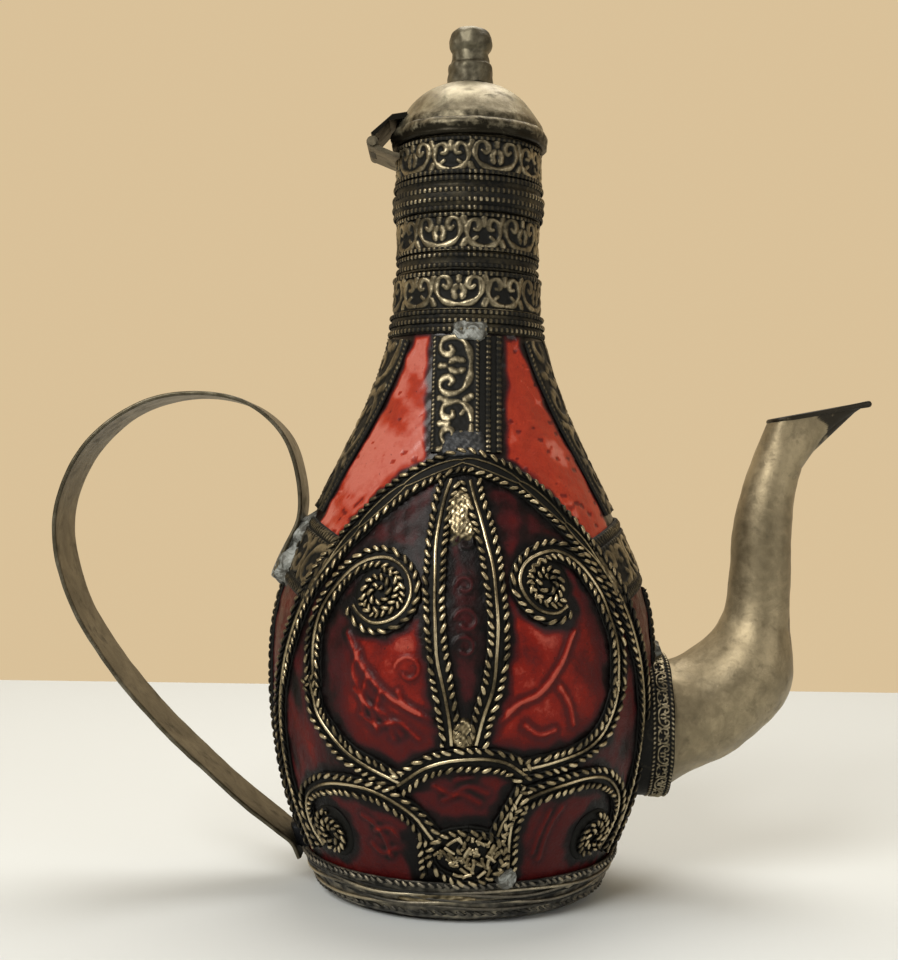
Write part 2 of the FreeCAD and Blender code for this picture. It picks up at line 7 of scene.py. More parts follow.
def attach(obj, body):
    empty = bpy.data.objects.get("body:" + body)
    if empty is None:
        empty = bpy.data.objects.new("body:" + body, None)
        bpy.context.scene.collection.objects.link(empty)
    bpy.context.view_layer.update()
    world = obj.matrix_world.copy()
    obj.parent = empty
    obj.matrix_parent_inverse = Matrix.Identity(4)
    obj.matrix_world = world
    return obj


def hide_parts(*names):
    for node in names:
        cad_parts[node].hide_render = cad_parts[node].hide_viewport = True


# Looks of the coffee pot. Lengths are in millimetres until a mesh is made. A spot on the body is given by
# its angle about +Z, in degrees from the front and positive towards the spout, and by its height. A detail's
# place is its distance along a track, its distance across it, and its height above the leather.
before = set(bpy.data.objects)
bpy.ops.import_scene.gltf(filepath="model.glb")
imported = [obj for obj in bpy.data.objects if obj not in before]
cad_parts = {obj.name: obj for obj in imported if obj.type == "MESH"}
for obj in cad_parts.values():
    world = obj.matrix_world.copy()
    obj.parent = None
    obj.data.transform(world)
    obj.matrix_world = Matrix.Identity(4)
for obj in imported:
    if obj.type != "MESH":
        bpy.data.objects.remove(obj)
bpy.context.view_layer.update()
MM = 0.001

# ---------------------------------------------------------------- driving dimensions
BODY_OUTLINE = [(27.2, 0), (31.2, 9), (35.0, 19), (37.5, 31), (38.5, 44), (37.8, 55), (35.0, 65), (31.0, 74),
                (26.0, 84.3), (21.1, 94.5), (17.6, 103.5), (15.4, 111)]
RIBBON_WIDTH = 4.4           # a filigree ribbon: two ropes beside a plain wire on a blackened strip
ARCH_WIDTH = 5.4
ROPE_WIRE = 0.42             # radius of one of a rope's two wires
ROPE_TWIST = 3.5             # length of one full twist
CENTRE_WIRE = 0.33
STRAP_WIDTH = 14.2
SIDE_STRAP_WIDTH = 12.6
SIDE_RIB_WIDTH = 12.0
SHOULDER_LOW, SHOULDER_HIGH = 61.5, 75.5
SPOUT_HEIGHT = 32.8
COLLAR_RADIUS = 14.8
HANDLE_WIDTH = 15.4
HANDLE_THICK = 0.9
FLOOR_BACK = 0.27            # how far behind the pot the pale surface ends, in metres

# Middle lines of one medallion's filigree, close to those of the CAD model.
ARCH_HALF = [(0, 85.6), (9, 84.6), (16, 83.2), (24, 80.9), (31, 77.7), (37.5, 73.9), (43, 70.2), (48, 65.9),
             (53, 61), (58.5, 52.4), (62.5, 46), (67, 35), (67.3, 27), (66, 20), (63.5, 10.6)]
ARCH = [(-a, z) for a, z in reversed(ARCH_HALF)] + ARCH_HALF[1:]
SCROLL_LEFT = [(-45.8, 43.4), (-46, 53.4), (-44, 58.5), (-38, 64.5), (-31, 67.2), (-24, 67.6), (-18, 65.4),
               (-15.6, 62), (-16.4, 59.3), (-20, 57), (-26, 56), (-31, 57.6), (-33, 59)]
SCROLL_RIGHT = [(48.2, 43.2), (48, 52.7), (46, 57), (43, 62.3), (37.5, 67), (30, 69.3), (23, 68.6),
                (18, 66.6), (16.2, 63.8), (18, 60.8), (22, 58.7), (27, 58.2), (30.5, 59.3)]
LEAF_LEFT = [(-5.9, 82.3), (-7.2, 79.6), (-9, 73.3), (-9.2, 66.2), (-8.4, 59.6), (-7.2, 51.2), (-5.4, 45),
             (-3.6, 38.4), (-3.2, 34.9)]
LEAF_RIGHT = [(1.7, 82.0), (3.2, 79), (6.2, 72.5), (8, 66.4), (9, 59.8), (9, 53.2), (7.8, 46), (5, 39.5),
              (3.4, 35.0)]
BOW_LEFT = [(-47.6, 45.2), (-45.8, 41.8), (-44.4, 38.8), (-39, 35), (-34, 32.3), (-28, 30.4), (-17.6, 27.6)]
BOW_RIGHT = [(49.0, 45.2), (47.2, 41.6), (45, 38.4), (42, 35.7), (37, 33.4), (31, 32), (16.6, 30.4)]
LENS = [(-18.3, 27.2), (-11, 30.4), (-4, 32), (2, 32.4), (8, 32.3), (12.5, 31.6), (18.0, 29.2)]
BASE_LEFT = [(-8.0, 17.0), (-9.6, 18.4), (-13, 21.2), (-18, 23.4), (-25, 25.3), (-33, 26), (-41, 25.8),
             (-49, 24), (-54, 21.9), (-56.2, 19), (-55.5, 15.5), (-52, 12.4)]
BASE_RIGHT = [(17.0, 24.6), (22.0, 25.9), (30, 27), (38, 27.6), (46, 26.9), (52, 24.8), (56.2, 22),
              (58, 18.6), (56.8, 15), (53.5, 12.2)]
STEM_LEFT = [(-12.6, 17.6), (-12, 9.6)]
STEM_RIGHT = [(17, 24), (14.6, 20), (14.4, 16.5), (15.4, 10.4)]
# Coils in the eyes of the scrolls: (angle, height, radius, turns, sense).
EYE_LEFT, EYE_RIGHT = (-25.6, 61.6, 4.8, 2.2, -1), (25.0, 63.7, 4.6, 2.1, 1)
BASE_EYE_LEFT, BASE_EYE_RIGHT = (-44.5, 16.0, 4.9, 2.2, 1), (46.0, 15.8, 5.0, 2.2, -1)
SPRIG_RIGHT = [(17.6, 27.4), (14.4, 23.4), (11.9, 20.4), (10.4, 17.4)]
ROSETTE = (2.0, 13.9, 6.9, 5.0)          # angle, height, and half its width and height

# Spout sections: (x, z, direction above +X in degrees, outside radius).
SPOUT_SECTIONS = [(36.5, 31.6, 14, 13.2), (42.0, 34.6, 24, 12.4), (50.4, 37.5, 38, 11.2),
                  (58.5, 45.0, 57, 10.1), (60.3, 54.5, 80, 6.95), (60.9, 64.0, 89, 6.2),
                  (61.2, 72.0, 90, 6.1), (62.3, 80.0, 83, 5.6), (64.4, 87.3, 70, 5.0)]
SPOUT_WALL = 0.9
LIP_BACK, LIP_TIP, LIP_HALF_WIDTH = (62.3, 95.2), (83.6, 99.4), 5.6
HANDLE_PATH = [(-38.0, 62.5), (-35.6, 68.5), (-33.2, 74.5), (-33.4, 82.0), (-36.6, 91.0), (-43.5, 96.8),
               (-54.0, 98.9), (-66.0, 96.4), (-76.4, 88.0), (-82.0, 74.5), (-80.0, 60.0),
               (-71.4, 44.8), (-57.2, 28.9), (-43.6, 16.8), (-36.6, 11.4), (-33.4, 8.8), (-32.0, 6.0)]


# ---------------------------------------------------------------- curves and fields
def smooth(xs, ys):
    """A smooth function through the points, for increasing xs. ys may have several columns."""
    xs, ys = np.asarray(xs, float), np.asarray(ys, float)
    steps = np.diff(xs)
    rise = (np.diff(ys, axis=0).T / steps).T
    slope = np.concatenate([rise[:1], (rise[:-1] + rise[1:]) / 2, rise[-1:]])

    def value(x):
        x = np.clip(np.asarray(x, float), xs[0], xs[-1])
        i = np.clip(np.searchsorted(xs, x) - 1, 0, len(xs) - 2)
        h = steps[i]
        t = (x - xs[i]) / h
        if ys.ndim > 1:
            t, h = t[..., None], h[..., None]
        return ((1 + 2 * t) * (1 - t) ** 2 * ys[i] + t * (1 - t) ** 2 * h * slope[i]
                + t * t * (3 - 2 * t) * ys[i + 1] + t * t * (t - 1) * h * slope[i + 1])
    return value


outline_at = smooth([z for _, z in BODY_OUTLINE], [r for r, _ in BODY_OUTLINE])


def skin(z):
    """Radius of the leather's outside at height z."""
    return outline_at(z)


def skin_slope(z):
    return (skin(np.minimum(z + 0.5, 111)) - skin(np.maximum(z - 0.5, 0))) / 1.0


def along_curve(points, step):
    """Points about step apart, evenly spaced, along a smooth curve through the given points."""
    points = np.asarray(points, float)
    reach = np.concatenate([[0], np.cumsum(np.linalg.norm(np.diff(points, axis=0), axis=1))])
    curve = smooth(reach, points)
    fine = curve(np.linspace(0, reach[-1], 40 * len(points)))
    reach = np.concatenate([[0], np.cumsum(np.linalg.norm(np.diff(fine, axis=0), axis=1))])
    count = max(int(round(reach[-1] / step)), 2)
    even = np.linspace(0, reach[-1], count + 1)
    return np.stack([np.interp(even, reach, fine[:, k]) for k in range(fine.shape[1])], 1)


def ripple(points, scale, seed):
    """A smooth random field between about -1 and 1, with features about scale across."""
    rng = np.random.default_rng(seed)
    total = np.zeros(np.shape(points)[:-1])
    for _ in range(7):
        direction = rng.normal(size=3)
        direction *= rng.uniform(0.6, 1.6) / np.linalg.norm(direction)
        total += np.sin(points @ direction * (6.28 / scale) + rng.uniform(0, 6.28))
    return total / 3.2


def step(low, high, x):
    """0 below low, 1 above high, smooth between."""
    t = np.clip((np.asarray(x, float) - low) / (high - low), 0, 1)
    return t * t * (3 - 2 * t)


def polar(angle, z, lift):
    """Points at those angles and heights, lift outside the leather."""
    a, r = np.radians(angle), skin(z) + lift
    return np.stack([r * np.sin(a), -r * np.cos(a), z + 0 * a], -1)


# ---------------------------------------------------------------- tracks
class Body:
    """A track that follows a path of (angle, height) over the body."""

    def __init__(self, path, gap=0.25):
        path = np.asarray(path, float)
        girth = float(np.mean(skin(path[:, 1])))
        flat = np.stack([np.radians(path[:, 0]) * girth, path[:, 1]], 1)
        flat = along_curve(flat, gap)
        self.centre = polar(np.degrees(flat[:, 0] / girth), flat[:, 1], 0)
        ahead = np.gradient(self.centre, axis=0)
        self.along = ahead / np.linalg.norm(ahead, axis=1)[:, None]
        x, y, z = self.centre.T
        normal = np.stack([x / np.hypot(x, y), y / np.hypot(x, y), -skin_slope(z)], 1)
        normal /= np.linalg.norm(normal, axis=1)[:, None]
        self.across = np.cross(normal, self.along)
        gaps = np.linalg.norm(np.diff(self.centre, axis=0), axis=1)
        self.reach = np.concatenate([[0], np.cumsum(gaps)])
        self.closed = False

    def at(self, across, lift):
        """Points across the track and above the leather, with a row for each point of the track."""
        q = self.centre[:, None] + self.across[:, None] * across[..., None]
        x, y, z = q[..., 0], q[..., 1], q[..., 2]
        flat = np.hypot(x, y)
        scale = skin(z) / flat
        x, y, slope = x * scale, y * scale, skin_slope(z)
        r = skin(z)
        length = np.sqrt(1 + slope ** 2)
        return np.stack([x + x / r * lift / length, y + y / r * lift / length, z - slope / length * lift], -1)


class Ring:
    """A closed track round +Z at one height, or round the spout's root."""

    def __init__(self, radius, z, gap=0.25, about_x=None):
        count = int(round(2 * math.pi * radius / gap))
        self.angle = np.linspace(0, 2 * math.pi, count, endpoint=False)
        self.radius, self.z, self.about_x = radius, z, about_x
        self.reach = self.angle * radius
        self.closed = True

    def at(self, across, lift):
        a, r = self.angle[:, None], self.radius + lift
        if self.about_x is None:
            return np.stack([r * np.sin(a), -r * np.cos(a), self.z + across + 0 * a], -1)
        return np.stack([self.about_x + across + 0 * a, r * np.sin(a), self.z + r * np.cos(a)], -1)


# ---------------------------------------------------------------- meshes
class Mesh:
    """Gathers grids of points into one mesh, with a wear value each: 0 in black recesses, 1 rubbed; on the
    leather it is the colour level, with painted sheen and painted shade included.
    """

    def __init__(self):
        self.points, self.faces, self.wear, self.count = [], [], [], 0

    def grid(self, points, wear=1.0, loop_u=False, loop_v=False, caps=False, keep=None):
        n, m = points.shape[:2]
        index = np.arange(n * m).reshape(n, m) + self.count
        if loop_u:
            index = np.concatenate([index, index[:1]])
        if loop_v:
            index = np.concatenate([index, index[:, :1]], 1)
        quads = np.stack([index[:-1, :-1], index[1:, :-1], index[1:, 1:], index[:-1, 1:]], -1).reshape(-1, 4)
        if keep is not None:
            quads = quads[keep.ravel()[quads - self.count].all(axis=1)]
        self.faces += quads.tolist()
        if caps:
            self.faces += [index[0, :m].tolist(), index[-1, :m][::-1].tolist()]
        self.points.append(points.reshape(-1, 3))
        self.wear.append(np.broadcast_to(wear, (n, m)).ravel())
        self.count += n * m

    def tube(self, track, across, lift, wide, high=None, sides=8, wear=None, top=None):
        """A tube along a track. across and lift give its middle, as numbers or one for each point."""
        n = len(track.reach)
        across, lift, wide, high = (np.broadcast_to(v, (n,))[:, None]
                                    for v in (across, lift, wide, wide if high is None else high))
        turn = -np.linspace(0, 2 * math.pi, sides, endpoint=False)[None]
        a = across + wide * np.cos(turn)
        h = lift + high * np.sin(turn)
        if top is not None:
            top = np.broadcast_to(top, (n,))[:, None]
            h = np.where(h > top, top + (h - top) * 0.35, h)
        level = step(0.1, 1.0, h) if wear is None else wear
        self.grid(track.at(a, h), level, track.closed, True, not track.closed)

    def finish(self, name, material, body, slot, *nodes, flat=None):
        mesh = bpy.data.meshes.new(name)
        mesh.from_pydata((np.concatenate(self.points) * MM).tolist(), [], self.faces)
        layer = mesh.attributes.new("wear", "FLOAT", "POINT")
        layer.data.foreach_set("value", np.concatenate(self.wear).astype(np.float32))
        mesh.validate()
        mesh.shade_smooth()
        if flat:
            mesh.set_sharp_from_angle(angle=math.radians(flat))
        mesh.materials.append(material)
        piece = bpy.data.objects.new(name, mesh)
        bpy.context.scene.collection.objects.link(piece)
        if nodes:
            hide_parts(*nodes)
        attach(piece, body)
        return piece


def rope(mesh, track, across, lift, size=1.0, seed=0, twist=ROPE_TWIST, hand=1, fade=0.0):
    """Two wires twisted together and rubbed flat on top, laid along a track."""
    n = len(track.reach)
    sway = 0.12 * np.sin(track.reach / 3.1 + seed) + 0.06 * np.sin(track.reach / 1.3 + 2 * seed)
    if track.closed:
        sway *= 0
    length = track.reach[-1] + (track.reach[1] if track.closed else 0)
    turns = max(round(length / twist), 1) if track.closed else length / twist
    slip = 0.5 * np.sin(2 * math.pi * track.reach / length * max(round(length / 7.0), 1) + seed)
    phase = (2 * math.pi * turns * track.reach / length + slip) * hand + seed
    wire, gap = ROPE_WIRE * size, 0.36 * size
    for k in (0, 1):
        p = phase + math.pi * k
        crest = np.sin(p)[:, None]
        a = across + sway + gap * np.cos(p)
        h = lift + 0.75 * gap * crest
        turn = -np.linspace(0, 2 * math.pi, 8, endpoint=False)[None]
        swollen = wire * (0.5 + 0.58 * np.clip(crest, 0, 1) ** 0.7)
        points_a = a[:, None] + swollen * np.cos(turn)
        points_h = h + swollen * np.sin(turn)
        top = lift + 0.53 * size
        points_h = np.where(points_h > top, top + (points_h - top) * 0.35, points_h)
        high = step(lift + 0.12 * size, lift + 0.5 * size, points_h) * step(0.05, 0.55, crest)
        patches = np.sin(track.reach / 5.3 + 3 * seed + k) + np.sin(track.reach / 1.9 + 5 * seed)
        wear = high * (1 - fade) * (0.76 + 0.12 * patches[:, None])
        mesh.grid(track.at(points_a, points_h), wear, track.closed, True, not track.closed)


def wire(mesh, track, across, lift, radius=CENTRE_WIRE, seed=0):
    """A plain wire, a little bent and knocked, laid along a track."""
    s = track.reach
    sway = (0.1 * np.sin(s / 4.1 + seed) + 0.05 * np.sin(s / 1.7 + seed)) * (not track.closed)
    dip = 0.07 * np.sin(s / 3.3 + 2 * seed) * (not track.closed)
    mesh.tube(track, across + sway, lift + dip, radius, radius * 0.9, 8, top=lift + dip + radius * 0.6,
              wear=(0.74 + 0.26 * np.sin(s / 2.9 + seed))[:, None])


def bed(mesh, track, width, low, high, seed=0):
    """The blackened strip under a ribbon, with rough solder between the wires."""
    profile = np.array([-0.5, -0.5, -0.46, -0.3, -0.12, 0.12, 0.3, 0.46, 0.5, 0.5])
    rise = np.array([0, 0.7, 1, 1, 1, 1, 1, 1, 0.7, 0])
    n = len(track.reach)
    a = np.broadcast_to(profile[None] * width, (n, len(profile))).copy()
    h = low + (high - low) * np.broadcast_to(rise, (n, len(rise))).copy()
    rough = ripple(track.at(a, h), 2.1, seed)
    h[:, 1:-1] += 0.07 * rough[:, 1:-1]
    edge = 0.16 * ripple(track.at(a, h), 4.0, seed + 1)
    a[:, :3] += np.abs(edge[:, :3])
    a[:, -3:] -= np.abs(edge[:, -3:])
    mesh.grid(track.at(a, h), 0.1 * np.clip(rough + 0.2, 0, 1), track.closed, False)


def ribbon(mesh, path, seed, width=RIBBON_WIDTH):
    """One filigree ribbon: a bed, a rope along each edge and a plain wire between them."""
    track = Body(path)
    bed(mesh, track, width - 0.3, -0.1, 0.28, seed)
    side = width / 2 - 0.72
    rope(mesh, track, side, 0.52, 1.0, seed, hand=1)
    rope(mesh, track, -side, 0.52, 1.0, seed + 1, hand=-1)
    wire(mesh, track, 0.0, 0.46, seed=seed)
    return track


def coil(mesh, eye, seed):
    """A rope wound into a flat coil on its own patch of black."""
    angle, z, radius, turns, sense = eye
    girth = float(skin(z))
    t = np.linspace(0, 1, 60)
    r = (radius - 0.75) * (1 - t) + 0.75 * t
    a = sense * 2 * math.pi * turns * t + math.pi / 2
    path = np.stack([angle + np.degrees(r * np.cos(a) / girth), z + r * np.sin(a)], 1)
    track = Body(path, 0.2)
    rope(mesh, track, 0.0, 0.5, 1.05, seed, twist=3.0, hand=-sense)
    ring = np.linspace(0, 2 * math.pi, 40, endpoint=False)
    rings = np.array([0.0, 0.3, 0.6, 0.85, 1.0, 1.02]) * radius
    u, w = rings[:, None] * np.cos(ring), rings[:, None] * np.sin(ring)
    lift = np.array([0.2, 0.2, 0.22, 0.22, 0.15, -0.1])[:, None] + 0 * u
    disc = polar(angle + np.degrees(u / girth), z + w, lift)
    mesh.grid(disc[::-1], 0.03, False, True)
    return track


# ---------------------------------------------------------------- embossed work
TILE = 2.8                   # length of one repeat of the scrollwork, in heights
SWAG = [(0, -0.40), (0.25, -0.38), (0.50, -0.27), (0.66, -0.05), (0.68, 0.18), (0.58, 0.36), (0.42, 0.40),
        (0.30, 0.31), (0.27, 0.16), (0.36, 0.07), (0.46, 0.14)]
LEAFY = [(1.34, -0.42), (1.10, -0.38), (0.92, -0.20), (0.87, 0.05), (0.96, 0.28), (1.14, 0.34), (1.26, 0.22),
         (1.22, 0.06), (1.11, 0.06)]
SPRIGS = [[(0.10, -0.22), (0.15, 0.0), (0.07, 0.14)], [(0.76, 0.44), (0.84, 0.22)],
          [(0.74, -0.44), (0.84, -0.24)],
          [(1.18, -0.16), (1.10, -0.22)], [(0, 0.26), (0, 0.42)], [(1.40, 0.16), (1.40, 0.42)]]


def scroll_points():
    """Points along one repeat of the scrollwork: a swag with curled ends, then a pair of leafy curls."""
    half = []
    for line in [SWAG, LEAFY] + SPRIGS:
        spots = along_curve(line, 0.035)
        swell = 0.75 + 0.5 * np.sin(np.linspace(0, 3 * math.pi, len(spots))) ** 2
        half.append(np.concatenate([spots, swell[:, None]], 1))
    half = np.concatenate(half)
    return np.concatenate([half, half * np.array([-1, 1, 1])])


SCROLLS = scroll_points()


def scrollwork(u, v, height, length):
    """Relief from 0 to 1 at (u, v), v from 0 in the middle of a strip, for repeats that long and high."""
    x, y = (np.mod(u / length, 1) - 0.5) * TILE, v / height
    best = np.full(x.shape, 9.0)
    for sx, sy, swell in SCROLLS:
        np.minimum(best, np.hypot((x - sx) * length / TILE / height, y - sy) / swell, out=best)
    return np.clip(1 - (best / 0.105) ** 2, 0, 1) ** 0.7


def embossed(mesh, track, width, base, rise, seed=0, border=0.9, rim="rope", fine=0.2, thick=0.6, worn=1.0):
    """An embossed strip: scrollwork between two beaded or roped borders."""
    n = len(track.reach)
    count = int(width / fine)
    v = np.linspace(-width / 2, width / 2, count + 1)
    field = width - 2 * border
    total = track.reach[-1] + (track.reach[1] if track.closed else 0)
    length = total / max(round(total / (field * TILE)), 1)
    u = np.broadcast_to(track.reach[:, None], (n, len(v)))
    vv = np.broadcast_to(v, (n, len(v)))
    pattern = scrollwork(u + seed * 3.7, vv, field, length)
    inside = step(field / 2 + 0.05, field / 2 - 0.15, np.abs(vv))
    notches = 0.5 + 0.5 * np.cos(2 * math.pi * (u + 0.5 * np.sign(vv) * vv) / (total / round(total / 0.95)))
    off = np.abs(np.abs(vv) - (width / 2 - border * 0.45))
    rail = np.clip(1 - (off / (border * 0.42)) ** 2, 0, 1) ** 0.5
    if rim == "rope":
        rail *= 0.35 + 0.65 * notches
    relief = np.maximum(pattern * inside, rail)
    points = track.at(vv, base + 0 * vv)
    patchy = 0.8 + 0.2 * ripple(points, 7.0, seed + 3)
    height = base + rise * relief * patchy + 0.05 * ripple(points, 1.6, seed)
    wear = np.clip(step(0.15, 0.95, relief) * (0.55 + 0.45 * patchy) * worn, 0, 1)
    skirt = np.array([base - thick])
    a = np.concatenate([vv[:, :1], vv, vv[:, -1:]], 1)
    h = np.concatenate([0 * vv[:, :1] + skirt, height, 0 * vv[:, -1:] + skirt], 1)
    w = np.concatenate([0 * vv[:, :1], wear, 0 * vv[:, -1:]], 1)
    mesh.grid(track.at(a, h), w, track.closed, False)


def beads(mesh, track, across, lift, wide, high, pitch=1.0, wear=1.0, seed=0):
    """A row of small bars side by side along a track, as rolled into the edge of a strip."""
    total = track.reach[-1] + (track.reach[1] if track.closed else 0)
    wave = np.cos(math.pi * track.reach / (total / max(round(total / pitch), 1))) ** 2
    knocks = 0.8 + 0.2 * np.sin(track.reach / 3.7 + seed) * np.sin(track.reach / 9.1 + 2 * seed)
    turn = -np.linspace(0, 2 * math.pi, 8, endpoint=False)[None]
    size = (0.45 + 0.55 * wave[:, None] ** 0.7) * knocks[:, None]
    a = across + wide * (0.8 + 0.2 * wave[:, None]) * np.cos(turn)
    h = lift + high * size * np.sin(turn)
    shade = step(0.1, 0.75, wave[:, None]) * step(-0.45, 0.5, np.sin(turn)) * wear * knocks[:, None] ** 2
    mesh.grid(track.at(a, h), shade, track.closed, True, not track.closed)


def turned(mesh, profile, count=220, rough=0.0, scale=6.0, seed=0, wear=1.0, closed=True, fine=None):
    """A surface of revolution about +Z from a profile of (radius, height), bottom to top, dented by rough."""
    profile = np.asarray(profile, float)
    if fine:
        profile = along_curve(profile, fine)
    a = np.linspace(0, 2 * math.pi, count, endpoint=False)[:, None]
    r, z = profile[None, :, 0], profile[None, :, 1]
    points = np.stack([r * np.sin(a), -r * np.cos(a), z + 0 * a], -1)
    if rough:
        dent = rough * ripple(points, scale, seed) * np.minimum(r / 3, 1)
        points = np.stack([(r + dent) * np.sin(a), -(r + dent) * np.cos(a), z + 0.4 * dent], -1)
    mesh.grid(points, wear, True, closed)


# ---------------------------------------------------------------- materials
class Material:
    """A node material. Sizes of noise are in millimetres."""

    def __init__(self, name):
        self.material = bpy.data.materials.new(name)
        self.material.use_nodes = True
        self.tree = self.material.node_tree
        self.shader = self.tree.nodes["Principled BSDF"]
        self.place = self.new("ShaderNodeTexCoord").outputs["Object"]

    def new(self, kind, **settings):
        node = self.tree.nodes.new(kind)
        for key, value in settings.items():
            setattr(node, key, value)
        return node

    def feed(self, socket, value):
        if isinstance(value, bpy.types.NodeSocket):
            self.tree.links.new(value, socket)
        elif isinstance(value, tuple):
            socket.default_value = (*value, 1.0)
        else:
            socket.default_value = value

    def noise(self, size, detail=3.0, warp=0.0, stretch=(1, 1, 1)):
        node = self.new("ShaderNodeTexNoise")
        mapping = self.new("ShaderNodeMapping")
        mapping.inputs["Scale"].default_value = stretch
        self.feed(mapping.inputs["Vector"], self.place)
        self.feed(node.inputs["Vector"], mapping.outputs["Vector"])
        node.inputs["Scale"].default_value = 1 / (size * MM)
        node.inputs["Detail"].default_value = detail
        node.inputs["Roughness"].default_value = 0.62
        node.inputs["Distortion"].default_value = warp
        return node.outputs["Fac"]

    def ramp(self, value, *stops):
        node = self.new("ShaderNodeValToRGB")
        self.feed(node.inputs["Fac"], value)
        elements = node.color_ramp.elements
        while len(elements) < len(stops):
            elements.new(0.5)
        for element, (place, colour) in zip(elements, stops):
            element.position = place
            element.color = (*colour, 1) if isinstance(colour, tuple) else (colour, colour, colour, 1)
        return node.outputs["Color"]

    def mix(self, factor, a, b, blend="MIX"):
        node = self.new("ShaderNodeMix", data_type="RGBA", blend_type=blend)
        self.feed(node.inputs[0], factor)
        self.feed(node.inputs[6], a)
        self.feed(node.inputs[7], b)
        return node.outputs[2]

    def maths(self, operation, a, b=0.0, clamp=False):
        node = self.new("ShaderNodeMath", operation=operation, use_clamp=clamp)
        self.feed(node.inputs[0], a)
        self.feed(node.inputs[1], b)
        return node.outputs[0]

    def wear(self):
        return self.new("ShaderNodeAttribute", attribute_name="wear").outputs["Fac"]

    def bump(self, height, depth, strength=1.0, under=None):
        node = self.new("ShaderNodeBump")
        node.inputs["Distance"].default_value = depth * MM
        node.inputs["Strength"].default_value = strength
        self.feed(node.inputs["Height"], height)
        if under is not None:
            self.feed(node.inputs["Normal"], under)
        return node.outputs["Normal"]


def plain_brass(name, dark, middle, light, rough, blotch=11.0, soot=0.5, worn_edges=True, metal=0.92):
    """Bare sheet metal under a mottled patina, with soot in patches and fine scratches."""
    m = Material(name)
    broad, small, fine = m.noise(blotch, 5, 0.6), m.noise(1.9, 4, 0.3), m.noise(0.32, 3)
    blend = m.maths("ADD", m.maths("MULTIPLY", broad, 0.68), m.maths("MULTIPLY", small, 0.32))
    colour = m.ramp(blend, (0.30, dark), (0.47, middle), (0.60, light), (0.72, middle))
    spots = m.ramp(m.noise(3.8, 5, 0.35), (0.54, 0.0), (0.70, soot))
    colour = m.mix(spots, colour, tuple(c * 0.3 for c in dark))
    brushed = m.noise(0.6, 3)
    specks = m.ramp(fine, (0.62, 0.0), (0.76, 0.4))
    colour = m.mix(specks, colour, tuple(c * 0.45 for c in dark))
    if worn_edges:
        worn = m.maths("ADD", m.wear(), m.maths("MULTIPLY", m.maths("SUBTRACT", small, 0.5), 1.1))
        colour = m.mix(m.ramp(worn, (0.25, 1.0), (0.62, 0.0)), colour, tuple(c * 0.16 for c in dark))
    m.feed(m.shader.inputs["Base Color"], colour)
    m.shader.inputs["Metallic"].default_value = metal
    m.feed(m.shader.inputs["Roughness"], m.ramp(m.maths("ADD", m.maths("MULTIPLY", small, 0.6),
           m.maths("MULTIPLY", spots, 0.5)), (0.15, rough - 0.08), (0.75, min(rough + 0.3, 0.9))))
    under = m.bump(small, 0.12, 0.5)
    m.feed(m.shader.inputs["Normal"], m.bump(m.maths("ADD", fine, brushed), 0.035, 0.7, under))
    return m.material


def worked_brass(name, black, dark, light, polished, rough, dirt=0.6):
    """Blackened metal rubbed bright on its high spots, as the wear value says."""
    m = Material(name)
    broad, small, fine = m.noise(9.0, 4, 0.5), m.noise(0.9, 4, 0.4), m.noise(0.22, 2)
    level = m.maths("ADD", m.wear(), m.maths("MULTIPLY", m.maths("SUBTRACT", small, 0.5), 0.55))
    level = m.maths("ADD", level, m.maths("MULTIPLY", m.maths("SUBTRACT", broad, 0.5), dirt), True)
    colour = m.ramp(level, (0.22, black), (0.45, dark), (0.72, light), (0.97, polished))
    m.feed(m.shader.inputs["Base Color"], colour)
    m.shader.inputs["Specular IOR Level"].default_value = 0.16
    m.feed(m.shader.inputs["Metallic"], m.ramp(level, (0.25, 0.1), (0.55, 0.95)))
    m.feed(m.shader.inputs["Roughness"], m.ramp(level, (0.2, 0.62), (0.6, rough + 0.08), (0.95, rough)))
    grain = m.maths("ADD", small, m.maths("MULTIPLY", fine, 0.6))
    m.feed(m.shader.inputs["Normal"], m.bump(grain, 0.07, 0.6))
    return m.material


def red_leather(name, gloss, mottle, dull, bright, pale):
    """Dyed leather, stained black towards its edges, with painted pink sheen in its pale top colour stop
    where the level is highest.
    """
    m = Material(name)
    broad, small = m.noise(6.0, 4, 0.8), m.noise(1.1, 5, 0.6)
    # On the leather the wear attribute is the colour level, with painted sheen and painted relief shade
    # included.
    level = m.maths("ADD", m.wear(), m.maths("MULTIPLY", m.maths("SUBTRACT", broad, 0.5), mottle))
    level = m.maths("ADD", level, m.maths("MULTIPLY", m.maths("SUBTRACT", small, 0.5), 0.7 * mottle), True)
    # The top stop, pale, is painted sheen: a pink painted highlight.
    colour = m.ramp(level, (0.06, (0.002, 0.0015, 0.0015)), (0.28, (0.010, 0.003, 0.003)),
                    (0.50, (0.045, 0.005, 0.006)), (0.72, dull), (0.89, bright), (1.0, pale))
    cells = m.new("ShaderNodeTexVoronoi", feature="DISTANCE_TO_EDGE")
    m.feed(cells.inputs["Vector"], m.place)
    cells.inputs["Scale"].default_value = 1 / (0.75 * MM)
    cracks = m.ramp(cells.outputs["Distance"], (0.0, 0.0), (0.16, 1.0))
    spots = m.ramp(m.noise(0.7, 2, 0.3), (0.68, 0.0), (0.76, 0.7))
    colour = m.mix(spots, colour, (0.012, 0.003, 0.003))
    m.feed(m.shader.inputs["Base Color"], colour)
    m.feed(m.shader.inputs["Roughness"], m.ramp(small, (0.3, 0.34), (0.7, 0.58)))
    m.shader.inputs["Specular IOR Level"].default_value = 0.13
    m.shader.inputs["Coat Weight"].default_value = gloss
    m.shader.inputs["Coat Roughness"].default_value = 0.2
    under = m.bump(small, 0.26, 0.6)
    m.feed(m.shader.inputs["Normal"], m.bump(cracks, 0.03, 0.35, under))
    return m.material


